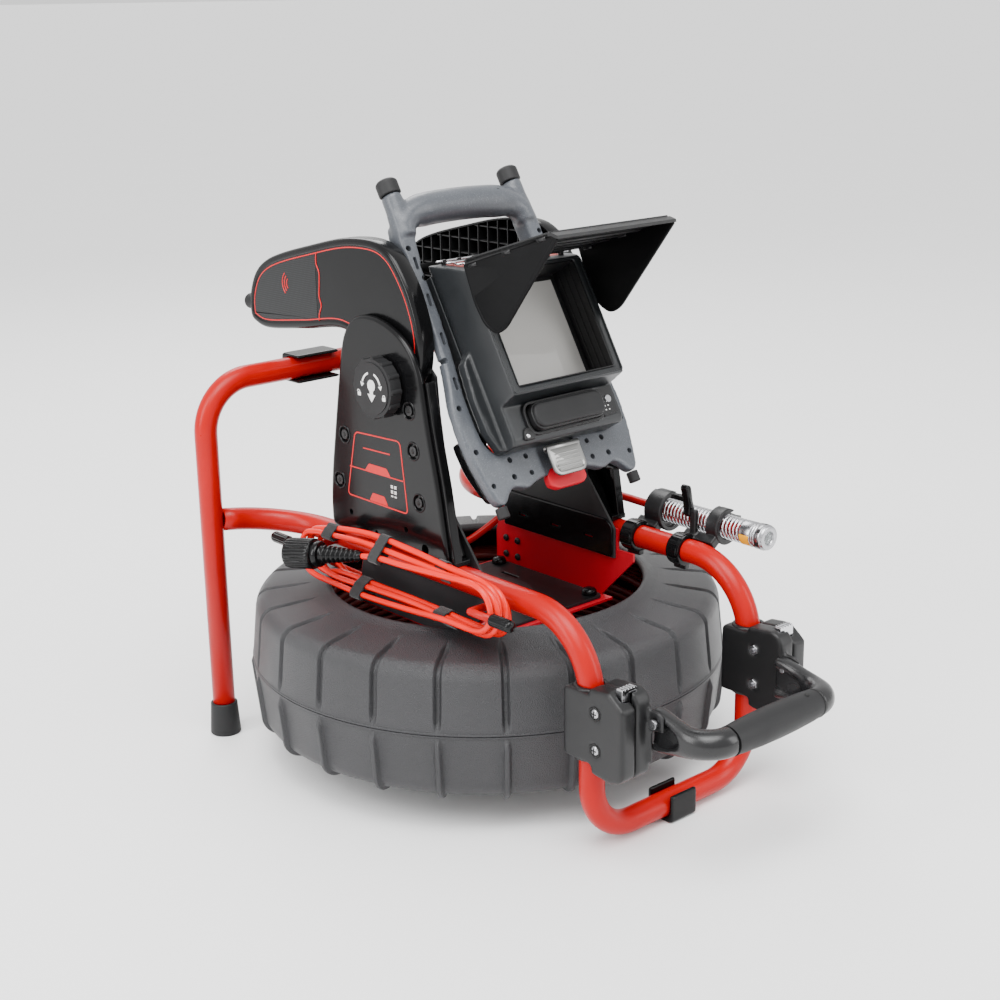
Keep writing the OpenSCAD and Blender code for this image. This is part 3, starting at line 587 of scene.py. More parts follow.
def strap(name, y0, centres, width, tail, seed):
    """A woven strap pulled round a few strands in the plane y = y0 (mm)."""
    pts = []
    for cx, cz in centres:
        for k in range(28):
            w = 2 * math.pi * k / 28
            pts.append((cx + (CR + 0.15) * math.cos(w), cz + (CR + 0.15) * math.sin(w)))
    pts = sorted(set(pts))

    def cr(o, a, b):
        return (a[0] - o[0]) * (b[1] - o[1]) - (a[1] - o[1]) * (b[0] - o[0])
    lo, hi = [], []
    for p in pts:
        while len(lo) > 1 and cr(lo[-2], lo[-1], p) <= 0:
            lo.pop()
        lo.append(p)
    for p in reversed(pts):
        while len(hi) > 1 and cr(hi[-2], hi[-1], p) <= 0:
            hi.pop()
        hi.append(p)
    hull = lo[:-1] + hi[:-1]
    a = np.array(hull + [hull[0]])
    d = np.concatenate([[0], np.cumsum(np.linalg.norm(np.diff(a, axis=0), axis=1))])
    n = 56
    s = np.linspace(0, d[-1], n, endpoint=False)
    ring = np.stack([np.interp(s, d, a[:, 0]), np.interp(s, d, a[:, 1])], 1)
    nx = np.roll(ring, -1, 0) - np.roll(ring, 1, 0)
    nrm = np.stack([nx[:, 1], -nx[:, 0]], 1)
    nrm /= np.linalg.norm(nrm, axis=1)[:, None]
    rng = random.Random(seed)
    V, F = [], []
    start = int(np.argmin(ring[:, 0]))
    turns = [(start + k) % n for k in range(n + 9)]
    rows = []
    for j, k in enumerate(turns):
        lift = 0.2 + (1.6 if j >= n else 0) * min(1, (j - n + 1) / 2) if j >= n else 0.2
        rows.append((ring[k] + nrm[k] * lift, nrm[k]))
    # loose tail past the overlap
    p, q = rows[-1]
    t = np.array([-q[1], q[0]])
    for j in range(1, tail):
        q2 = q + np.array([0.05 * j, -0.12 * j])
        p = p + (t * 1.8 + q * 0.5 * j * 0.12)
        rows.append((p, q))
    for j, (p, q) in enumerate(rows):
        wv = 0.35 * math.sin(j * 0.9 + seed)
        for dy in (-width / 2, width / 2):
            for th in (0, 1.25):
                V.append(P(p[0] + q[0] * th, y0 + dy + wv, p[1] + q[1] * th))
    m = len(rows)
    for j in range(m - 1):
        b, c = j * 4, (j + 1) * 4
        F += [(b, b + 1, c + 1, c), (b + 3, b + 2, c + 2, c + 3), (b + 1, b + 3, c + 3, c + 1), (b + 2, b, c, c + 2)]
    F += [(0, 2, 3, 1), ((m - 1) * 4, (m - 1) * 4 + 1, (m - 1) * 4 + 3, (m - 1) * 4 + 2)]
    o = fix_normals(mesh_obj(name, V, F))
    bevel(o, 0.0003, 2, 40)
    return put(o, "frame", VELCRO)


def crossings(y0, zmin, zmax):
    out = []
    for a, b in zip(cable_path[:-1], cable_path[1:]):
        ya, yb = a.y * 1000 - YO, b.y * 1000 - YO
        if (ya - y0) * (yb - y0) <= 0 and ya != yb:
            f = (y0 - ya) / (yb - ya)
            p = a.lerp(b, f)
            if zmin < p.z * 1000 < zmax and p.x * 1000 < -130:
                out.append((p.x * 1000, p.z * 1000))
    return sorted(out, reverse=True)


t77, t16, b25, b105 = crossings(74, 236, 300), crossings(-16, 236, 300), crossings(25, 180, 232), crossings(-108, 180, 232)
straps = [strap("hank_strap_rear", 74, t77[1:4], 17, 8, 1), strap("hank_strap_lead", -16, t16[2:5], 15, 9, 2),
          strap("hank_strap_low", 25, b25[1:5], 17, 8, 3), strap("hank_strap_front", -108, b105[0:4], 18, 9, 4),
          strap("hank_strap_inner", -100, crossings(-100, 236, 300)[0:2], 15, 8, 5)]

# connector: fluted collar and spiral strain relief, on the end of the lead
cdir = Vector((-math.sin(math.radians(95.5)) * 0 - 0.357, 0.929, -0.096)).normalized()
c0 = V3([-171, 6, 252])
cside = cdir.cross(Vector((0, 0, 1))).normalized()
cup = cside.cross(cdir)


def fluted(name, prof, origin, axis, side, n, depth, fl, n_per=8, lo=None, hi=None):
    """Body of revolution whose wall carries fl flutes between heights lo and hi."""
    axis, side = Vector(axis).normalized(), Vector(side).normalized()
    other = axis.cross(side)
    V, F = [], []
    N_ = fl * n_per
    m = len(prof)
    for k in range(N_):
        w = 2 * math.pi * k / N_
        dd = side * math.cos(w) + other * math.sin(w)
        g = 0.5 - 0.5 * math.cos(2 * math.pi * (k % n_per) / n_per)
        for r, h in prof:
            cut = depth * (1 - g) ** 2 if (lo <= h <= hi and r > n) else 0
            V.append(Vector(origin) + axis * (h / 1000) + dd * ((r - cut) / 1000))
    for k in range(N_):
        j = (k + 1) % N_
        for i in range(m - 1):
            F.append((k * m + i, k * m + i + 1, j * m + i + 1, j * m + i))
    if prof[0][0] > 1e-6:
        F.append(tuple(k * m for k in range(N_)))
    if prof[-1][0] > 1e-6:
        F.append(tuple(k * m + m - 1 for k in reversed(range(N_))))
    o = mesh_obj(name, V, F)
    bm = bmesh.new()
    bm.from_mesh(o.data)
    bmesh.ops.remove_doubles(bm, verts=bm.verts, dist=1e-6)
    bmesh.ops.recalc_face_normals(bm, faces=bm.faces)
    bm.to_mesh(o.data)
    bm.free()
    o.data.shade_smooth()
    e = o.modifiers.new("edges", "EDGE_SPLIT")
    e.split_angle = math.radians(50)
    return o


prof = [(3.35, -2), (4.6, -2), (5.2, 0)]
for k in range(8):
    h = 2 + k * 5.6
    r = 5.4 + k * 0.5
    prof += [(r, h), (r + 0.9, h + 0.6), (r + 1.1, h + 1.6), (r + 0.9, h + 2.9), (r - 0.3, h + 3.5), (r - 0.5, h + 4.4)]
prof += [(9.6, 48), (13.2, 48.6), (14, 50), (14, 54.5), (13.4, 56), (15.9, 56.6), (16.5, 57.6), (16.5, 62)]
prof += [(16.5, 70), (16.5, 78), (16.5, 86), (16.0, 89.3), (15.2, 90), (12.6, 90), (12.0, 89.4), (12, 74), (4, 74), (0, 74)]
conn = fluted("cable_connector_body", prof, c0, cdir, cside, 15.5, 0.9, 26, 8, 58, 87)
put(conn, "frame", MT["gloss_black"])
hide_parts("cable_connector")
pins = []
for k in range(6):
    w = 2 * math.pi * k / 6
    o = revolve("pin", [(0, 70), (1.2, 70), (1.2, 84), (0.7, 86), (0, 86.4)], c0 + cside * (0.0065 * math.cos(w)) + cup * (0.0065 * math.sin(w)), cdir, cside, 16)
    o.data.materials.append(MT["brass"])
    pins.append(o)
cpins = join("connector_pins", pins)
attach(cpins, "frame")
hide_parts("system_cable_hank", "system_cable_lead")

# push cable between the camera spring and the coil in the drum
push_p = [[150, -118, 264], [150, -95, 264.5], [150, -70, 265], [150, -45, 264.5], [149, -20, 263], [147, 5, 260], [144, 30, 255],
          [140, 54, 247], [135, 76, 236], [128, 96, 222], [119, 113, 206], [106, 127, 190], [91, 141, 176], [70, 158, 166], [44, 176, 161], [14, 188, 160.5]]
pp, push_len = even(spline([V3(p) for p in push_p], 0.003), 0.005)
push = tube("push_cable", pp, 0.0045, 14)
put(push, "frame", MT["tube_red"])
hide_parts("push_cable_lead")

# ---------------------------------------------------------------- drum
sector = sorted([s * o for s in (-1, 1) for o in (0.15, 0.3, 0.42, 0.54, 0.66, 0.78, 0.9, 1.02, 1.16, 1.32, 1.6, 2.3, 3.4, 5.0, 6.4)] + [0, 7.5])
ANG = [7.5 + 15 * k + o for k in range(24) for o in sector]


def sq(a, b, x):
    t = min(1, max(0, (x - a) / (b - a)))
    return t * t * (3 - 2 * t)


def shell(name, prof, env, nodes):
    """prof: closed outline (r, z, groove weight); the grooves sink along the outline's inward normal."""
    m = len(prof)
    V, F = [], []
    nr = []
    for i in range(m):
        a, b = prof[i - 1], prof[(i + 1) % m]
        t = Vector((b[0] - a[0], b[1] - a[1]))
        t.normalize()
        nr.append((t.y, -t.x))
    for ang in ANG:
        w = math.radians(ang)
        da = ((ang - 7.5 + 7.5) % 15) - 7.5
        for i, (r, z, g) in enumerate(prof):
            if g > 0:
                d = abs(math.radians(da)) * r
                hw = 2.2 + 2.6 * g
                k = (1 - sq(0.3, 1.0, d / hw)) * 4.6 * g
            elif g < 0:
                d = abs(math.radians(da)) * r
                k = -(0.5 + 0.5 * math.cos(math.pi * min(1, d / 7.5))) * 4.2 * -g
            else:
                k = 0
            rr, zz = r - nr[i][0] * k, z - nr[i][1] * k
            V.append(P(rr * math.cos(w), rr * math.sin(w), zz))
    n = len(ANG)
    for k in range(n):
        j = (k + 1) % n
        for i in range(m):
            i2 = (i + 1) % m
            F.append((k * m + i, j * m + i, j * m + i2, k * m + i2))
    o = mesh_obj(name, V, F)
    fix_normals(o)
    o.data.shade_smooth()
    e = o.modifiers.new("edges", "EDGE_SPLIT")
    e.split_angle = math.radians(38)
    put(o, "drum", MT["drum_grey"])
    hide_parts(nodes)
    return o


def line2(a, b, n):
    return [(a[0] + (b[0] - a[0]) * i / n, a[1] + (b[1] - a[1]) * i / n) for i in range(n)]


def arc2(cx, cz, r, a0, a1, n):
    return [(cx + r * math.cos(math.radians(a0 + (a1 - a0) * i / n)), cz + r * math.sin(math.radians(a0 + (a1 - a0) * i / n))) for i in range(n + 1)]


out_u = [(264.0, 113.75), (265.0, 114.3), (265.0, 115.6), (264.4, 116.2)] + line2((264.3, 118), (258.9, 168.5), 12) + arc2(241, 167, 18, 5, 80, 12)
out_u += line2((242, 185.0), (184.5, 191.4), 14)
up = [(r, z, sq(116, 127, z) * sq(194, 222, r)) for r, z in out_u]
up += [(r, z, 0) for r, z in arc2(179, 190, 5, 60, 300, 12)]
up += [(r, z, 0) for r, z in [(186, 187.0), (205, 184.7)]] + [(r, z, -1) for r, z in [(225, 182.2), (243, 180.0)] + arc2(241, 167, 13, 80, 5, 6) + [(257.5, 140), (259.2, 124)]] + [(r, z, 0) for r, z in [(260, 116), (259.6, 113.75)]]
drum_u = shell("drum_upper_shell", up, None, "drum_upper")
out_l = [(264.0, 113.45), (264.8, 112.9), (264.8, 111.6), (264.2, 111.0)] + line2((264.2, 109), (258.9, 58.5), 12) + arc2(241, 60, 18, -5, -80, 12)
out_l += line2((243, 41.9), (201, 36.2), 10)
dn = [(r, z, sq(111, 100, z) * sq(196, 222, r)) for r, z in out_l]
dn += [(r, z, 0) for r, z in [(200, 36), (130, 36), (60, 36), (34, 40), (34, 45), (60, 41), (130, 41), (205, 41)]] + [(r, z, -1) for r, z in [(225, 43.5), (243, 46.5)] + arc2(241, 60, 13, -80, -5, 6) + [(257.5, 87), (259.2, 103)]] + [(r, z, 0) for r, z in [(260, 111), (259.6, 113.45)]]
drum_l = shell("drum_lower_shell", dn, None, "drum_lower")

# push cable wound inside the drum
N_T = 64
spiral = []
for k in range(int(N_T * 4.6) + 1):
    t = k / N_T
    th = math.radians(87) + 2 * math.pi * t
    if t < 1:
        r, z = 188.6 + 6 * sq(0, 1, t), 160.2 - 11.7 * sq(0, 0.2, t)
    else:
        r, z = 194.6 + 9.1 * (t - 1), 148.5
    spiral.append(P(r * math.cos(th), r * math.sin(th), z))
inner = []
for k in range(int(N_T * 10) + 1):
    t = k / N_T
    th = 2 * math.pi * t
    inner.append(P(193 * math.cos(th), 193 * math.sin(th), 139.2 - 8.55 * t - 0.6 * math.sin(t * 2.2)))
base = []
for k in range(int(N_T * 3.6) + 1):
    t = k / N_T
    th = 2 * math.pi * t
    base.append(P((194 + 9.1 * t) * math.cos(th), (194 + 9.1 * t) * math.sin(th), 53.5))
outer = []
for k in range(int(N_T * 9) + 1):
    t = k / N_T
    th = 2 * math.pi * t
    outer.append(P(227 * math.cos(th), 227 * math.sin(th), 139 - 9.2 * t))
cs = [tube("c", q, 0.00445, 10) for q in (spiral, inner, base, outer)]
coil = join("push_cable_windings", cs)
coil.data.shade_smooth()
# the windings take the darker red as painted shade inside the drum
put(coil, "drum", MT["push_cable"])
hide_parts("push_cable_coil")

# ---------------------------------------------------------------- camera head
wire = []
for k in range(26 * 30 + 1):
    t = k / 30
    w = 2 * math.pi * t
    wire.append(P(150 + 12.0 * math.cos(w), -118.8 - 128.4 * t / 26, 264 + 12.0 * math.sin(w)))
sp = tube("spring_wire", wire, 0.00145, 10)
put(sp, "frame", MT["chrome_steel"])
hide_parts("camera_spring")
core = tube("spring_core_cable", [P(150, -116 - 3 * i, 264) for i in range(45)], 0.0056, 16)
put(core, "frame", MT["tube_red"])
fer = revolve("spring_ferrule", [(4.7, -8), (7.5, -8), (9.2, -6), (10.4, -5), (13.4, -5), (13.6, -4), (13.6, 0), (12, 0.5), (4.7, 0.5)], P(150, -118, 264), (0, -1, 0), (1, 0, 0), 40, closed=True)
put(fer, "frame", MT["steel"])
head = revolve("camera_head_body", [(0, -9), (6, -9), (8.4, -8.4), (9, -7.6), (9, -0.4), (9.4, 0), (12.6, 0), (13, 0.4), (13, 2.2), (12.4, 2.6), (12.4, 3.4), (13.4, 3.8), (14, 4.4), (14, 6.2), (13.6, 6.4), (13.6, 7), (14, 7.2),
                                    (14, 13.4), (13.6, 14), (13, 14.2), (13, 16.4), (12.4, 17), (8.2, 17), (7.1, 16.4), (7.1, 11), (0, 11)], P(150, -262, 264), (0, -1, 0), (1, 0, 0), 64)
put(head, "frame", MT["steel"])
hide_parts("camera_head")
# painted shade: six dark patches round the camera head
marks = []
for k in range(6):
    w = math.radians(60 * k + 20)
    V, F = [], []
    for i in range(7):
        ww = w + math.radians(-9 + 3 * i)
        for h in (0.4 + 8.6, 0.4 + 12.4):
            for r in (13.98, 14.12):
                V.append(P(150 + r * math.cos(ww), -262 - h, 264 + r * math.sin(ww)))
    for i in range(6):
        b, c = i * 4, i * 4 + 4
        F += [(b + 1, b + 3, c + 3, c + 1), (b, c, c + 2, b + 2), (b, b + 1, c + 1, c), (b + 2, c + 2, c + 3, b + 3)]
    F += [(0, 2, 3, 1), (24, 25, 27, 26)]
    o = fix_normals(mesh_obj("mk", V, F, smooth=False))
    o.data.materials.append(SHADE_AND_SEAM_DARK)
    marks.append(o)
mk = join("head_marks", marks)
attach(mk, "frame")
win = revolve("camera_window_glass", [(0, 11.2), (7, 11.2), (7, 15), (6.2, 15.6), (3, 16.0), (0, 16.1)], P(150, -262, 264), (0, -1, 0), (1, 0, 0), 48)
put(win, "frame", GLASS)
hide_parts("camera_window")
lens = revolve("camera_lens", [(0, 11.25), (2.6, 11.25), (2.6, 12.2), (2.2, 12.9), (1.2, 13.3), (0, 13.4)], P(150, -262, 264), (0, -1, 0), (1, 0, 0), 32)
put(lens, "frame", MT["gloss_black"])
leds = []
for k in range(8):
    w = math.radians(45 * k + 10)
    o = revolve("led", [(0, 11.25), (0.85, 11.25), (0.85, 12.1), (0.5, 12.5), (0, 12.6)], P(150 + 4.7 * math.cos(w), -262, 264 + 4.7 * math.sin(w)), (0, -1, 0), (1, 0, 0), 16)
    o.data.materials.append(LED)
    leds.append(o)
led = join("camera_leds", leds)
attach(led, "frame")

# ---------------------------------------------------------------- outlines
def smooth_poly(pts, step=3.0):
    n, out = len(pts), []
    for i in range(n):
        p0, p1, p2, p3 = (Vector((*pts[(i + k) % n], 0)) for k in (-1, 0, 1, 2))
        t1 = max((p1 - p0).length, 1e-9) ** 0.5
        t2 = t1 + max((p2 - p1).length, 1e-9) ** 0.5
        t3 = t2 + max((p3 - p2).length, 1e-9) ** 0.5
        m = max(1, int(math.ceil((p2 - p1).length / step)))
        for j in range(m):
            t = t1 + (t2 - t1) * j / m
            A1 = p0 * ((t1 - t) / t1) + p1 * (t / t1)
            A2 = p1 * ((t2 - t) / (t2 - t1)) + p2 * ((t - t1) / (t2 - t1))
            A3 = p2 * ((t3 - t) / (t3 - t2)) + p3 * ((t - t2) / (t3 - t2))
            B1 = A1 * ((t2 - t) / t2) + A2 * (t / t2)
            B2 = A2 * ((t3 - t) / (t3 - t1)) + A3 * ((t - t1) / (t3 - t1))
            q = B1 * ((t2 - t) / (t2 - t1)) + B2 * ((t - t1) / (t2 - t1))
            out.append((q.x, q.y))
    return out


def round_poly(pts, r, n=6):
    """Polygon with every corner rounded to radius r (or a list of radii)."""
    out, m = [], len(pts)
    for i in range(m):
        a, b, c = Vector(pts[i - 1]), Vector(pts[i]), Vector(pts[(i + 1) % m])
        rr = r[i] if isinstance(r, (list, tuple)) else r
        u, v = (a - b), (c - b)
        d = min(rr, u.length * 0.45, v.length * 0.45)
        p, q = b + u.normalized() * d, b + v.normalized() * d
        for k in range(n + 1):
            t = k / n
            w = p * (1 - t) ** 2 + b * (2 * t * (1 - t)) + q * t ** 2
            out.append((w.x, w.y))
    return out


def inset(poly, d):
    if abs(d) < 1e-9:
        return list(poly)
    n = len(poly)
    A = sum(poly[i][0] * poly[(i + 1) % n][1] - poly[(i + 1) % n][0] * poly[i][1] for i in range(n))
    s = 1 if A > 0 else -1
    arr = np.array(poly)
    out = []
    for i in range(n):
        t1 = arr[i] - arr[i - 1]
        t2 = arr[(i + 1) % n] - arr[i]
        t1 = t1 / (np.linalg.norm(t1) + 1e-12)
        t2 = t2 / (np.linalg.norm(t2) + 1e-12)
        n1, n2 = np.array([-t1[1], t1[0]]) * s, np.array([-t2[1], t2[0]]) * s
        b = n1 + n2
        b = b / (np.linalg.norm(b) + 1e-12)
        out.append(arr[i] + b * d / max(0.5, float(b @ n1)))
    out = np.array(out)
    if d > 2:
        a0, a1 = arr, np.roll(arr, -1, 0)
        e = a1 - a0
        L2 = (e ** 2).sum(1) + 1e-12
        ok = []
        for p in out:
            t = np.clip(((p - a0) * e).sum(1) / L2, 0, 1)
            ok.append(np.sqrt((((a0 + e * t[:, None]) - p) ** 2).sum(1)).min() > d - 0.12)
        if any(ok):
            for i in range(n):
                if not ok[i]:
                    for k in range(1, n):
                        if ok[i - k]:
                            f = i - k
                            break
                    for k in range(1, n):
                        if ok[(i + k) % n]:
                            g = (i + k) % n
                            break
                    out[i] = (out[f] + out[g]) / 2
    return [tuple(p) for p in out]


def layered(name, poly, layers, f, split=35):
    V, F, n = [], [], len(poly)
    for d, t in layers:
        V += [f(a, b, t) for a, b in inset(poly, d)]
    for k in range(len(layers) - 1):
        for i in range(n):
            j = (i + 1) % n
            F.append((k * n + i, k * n + j, (k + 1) * n + j, (k + 1) * n + i))
    F.append(tuple(reversed(range(n))))
    F.append(tuple((len(layers) - 1) * n + i for i in range(n)))
    me = bpy.data.meshes.new(name)
    me.from_pydata([tuple(v) for v in V], [], F)
    bm = bmesh.new()
    bm.from_mesh(me)
    bmesh.ops.remove_doubles(bm, verts=bm.verts, dist=2e-6)
    bmesh.ops.triangulate(bm, faces=[q for q in bm.faces if len(q.verts) > 4], ngon_method="EAR_CLIP")
    bmesh.ops.recalc_face_normals(bm, faces=bm.faces)
    bm.to_mesh(me)
    bm.free()
    o = bpy.data.objects.new(name, me)
    bpy.context.scene.collection.objects.link(o)
    me.shade_smooth()
    if split:
        e = o.modifiers.new("edges", "EDGE_SPLIT")
        e.split_angle = math.radians(split)
    return o


def plate(name, poly, f, t0, t1, e=0.15):
    """Thin plate or printed area with a softened edge."""
    s = 1 if t1 > t0 else -1
    return layered(name, poly, [(0, t0), (0, t1 - s * min(e, abs(t1 - t0) / 2)), (e, t1), (e + 0.2, t1)], f, 40)


def ring_plate(name, poly, d0, d1, f, t0, t1):
    a, b = inset(poly, d0), inset(poly, d1)
    n = len(poly)
    V = [f(x, y, t) for t in (t0, t1) for q in (a, b) for x, y in q]
    F = []
    for i in range(n):
        j = (i + 1) % n
        F += [(i, j, n + j, n + i), (2 * n + i, 3 * n + i, 3 * n + j, 2 * n + j), (i, 2 * n + i, 2 * n + j, j), (n + i, n + j, 3 * n + j, 3 * n + i)]
    o = mesh_obj(name, V, F, smooth=False)
    bm = bmesh.new()
    bm.from_mesh(o.data)
    bmesh.ops.remove_doubles(bm, verts=bm.verts, dist=2e-6)
    bmesh.ops.recalc_face_normals(bm, faces=bm.faces)
    bm.to_mesh(o.data)
    bm.free()
    return o


def clip_half(poly, axis, v, keep_above):
    out, n = [], len(poly)
    for i in range(n):
        a, b = poly[i], poly[(i + 1) % n]
        ia, ib = (a[axis] >= v) == keep_above, (b[axis] >= v) == keep_above
        if ia:
            out.append(a)
        if ia != ib:
            t = (v - a[axis]) / (b[axis] - a[axis])
            out.append((a[0] + (b[0] - a[0]) * t, a[1] + (b[1] - a[1]) * t))
    return out


def scan(poly, axis, v):
    xs, n = [], len(poly)
    for i in range(n):
        a, b = poly[i], poly[(i + 1) % n]
        if (a[axis] - v) * (b[axis] - v) < 0:
            t = (v - a[axis]) / (b[axis] - a[axis])
            xs.append(a[1 - axis] + (b[1 - axis] - a[1 - axis]) * t)
    xs.sort()
    return list(zip(xs[::2], xs[1::2]))


def circ(cx, cy, r, n=24, a0=0, a1=360):
    full = abs(a1 - a0) >= 360
    return [(cx + r * math.cos(math.radians(a0 + (a1 - a0) * k / (n if full else n - 1))), cy + r * math.sin(math.radians(a0 + (a1 - a0) * k / (n if full else n - 1)))) for k in range(n)]


def bake(o):
    """Apply an own piece's modifiers."""
    bpy.context.view_layer.update()
    dg = bpy.context.evaluated_depsgraph_get()
    new = bpy.data.meshes.new_from_object(o.evaluated_get(dg))
    o.modifiers.clear()
    o.data = new
    return o


def cut(o, cutters):
    c = join("cutter", cutters)
    b = o.modifiers.new("cut", "BOOLEAN")
    b.operation, b.object, b.solver = "DIFFERENCE", c, "EXACT"
    b.use_self = True
    bake(o)
    bpy.data.objects.remove(c)
    return o


# ---------------------------------------------------------------- docking arms
ARM = smooth_poly([(262, 466), (250, 460), (235, 457.5), (160, 466), (90, 475), (62, 466), (44, 446), (34, 418), (20, 405), (-8, 404), (-24, 412), (-35, 434),
                   (-42, 478), (-28, 523), (-3, 558), (12, 568.5), (30, 574), (76, 573.5), (138, 561), (227, 536), (250, 520), (262.5, 497), (265, 480)], 3.5)
for side, s in (("left", -1), ("right", 1)):
    fx = (lambda a, b, t, s=s: P(s * t, a, b))
    lay = [(3.2, 116.0), (2.8, 116.0), (2.6, 115.6), (2.6, 102.6), (2.2, 102.1), (1.4, 102.0), (0.5, 102.2), (0, 102.9), (0, 116.8), (0.35, 118.4), (1.1, 119.7), (2.2, 120.6), (3.6, 121.0),
           (6.6, 121.0), (7.2, 120.9), (7.7, 120.5), (8.0, 120.1), (8.6, 120.0), (9.2, 120.0)]
    a = layered("arm_moulding_" + side, ARM, lay, fx, 40)
    put(a, "cradle", MT["gloss_black"])
    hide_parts("arm_" + side)
    inner = inset(ARM, 2.8)
    items = []
    for y in range(-30, 262, 17):
        for lo, hi in scan(inner, 0, y + 0.01):
            if hi - lo > 3 and not (y < 46 and lo < 445 and hi < 470):
                lo2 = max(lo, 452 if y < 46 else lo)
                if hi > lo2:
                    items.append(((102.8, y - 0.8, lo2), (116.3, y + 0.8, hi)))
    for z in range(458, 575, 17):
        for lo, hi in scan(inner, 1, z + 0.01):
            if hi - lo > 3:
                items.append(((104.2, lo, z - 0.8), (116.2, hi, z + 0.8)))
    rb = boxes("arm_ribs_" + side, items, lambda x, y, z, s=s: P(s * x, y, z), 0.0003, 1)
    put(rb, "cradle", MT["plastic_black"])
    pv = revolve("arm_pivot_boss_" + side, [(8.2, 102.2), (15, 102.2), (16, 103.2), (16, 116.2), (8.2, 116.2)], P(0, 6, 428), (s, 0, 0), (0, 0, 1), 48, closed=True)
    put(pv, "cradle", MT["plastic_black"])
    rl = ring_plate("arm_red_line_" + side, ARM, 9.3, 10.5, fx, 119.9, 120.22)
    put(rl, "cradle", REDLINE)
    lab = clip_half(inset(ARM, 11.2), 0, 134, True)
    cb = plate("arm_carbon_label_" + side, lab, fx, 119.9, 120.25, 0.1)
    put(cb, "cradle", CARBON)
    dv = tube("arm_divider_" + side, spline([fx(y, z, 120.2) for y, z in ((131.5, 553), (132, 541), (127.5, 532), (128, 518), (129, 505), (126, 496), (130, 486), (130.5, 479))], 0.002), 0.0007, 8)
    put(dv, "cradle", REDLINE)
    # generic sound-wave marks in place of lettering
    arcs = []
    for k, rr in enumerate((7, 11, 15)):
        arcs.append(tube("w", [fx(182 + rr * math.cos(math.radians(q)), 513 + rr * math.sin(math.radians(q)), 120.2) for q in range(-48, 49, 8)], 0.00065, 8))
    wv = join("arm_wave_marks_" + side, arcs)
    wv.data.shade_smooth()
    put(wv, "cradle", REDLINE)
    bars = [round_poly([(196, 508), (222, 505), (222, 511), (196, 514)], 1.5), round_poly([(196, 518), (214, 516), (214, 519), (196, 521)], 1)]
    bars += [round_poly([(8, 536), (84, 541), (84, 545.5), (8, 541)], 1.5), round_poly([(4, 520), (70, 524), (70, 527.5), (4, 523.5)], 1.2)]
    ws = join("arm_print_" + side, [plate("b", q, fx, 119.9, 120.2, 0.08) for q in bars[:2]])
    put(ws, "cradle", WHITE)

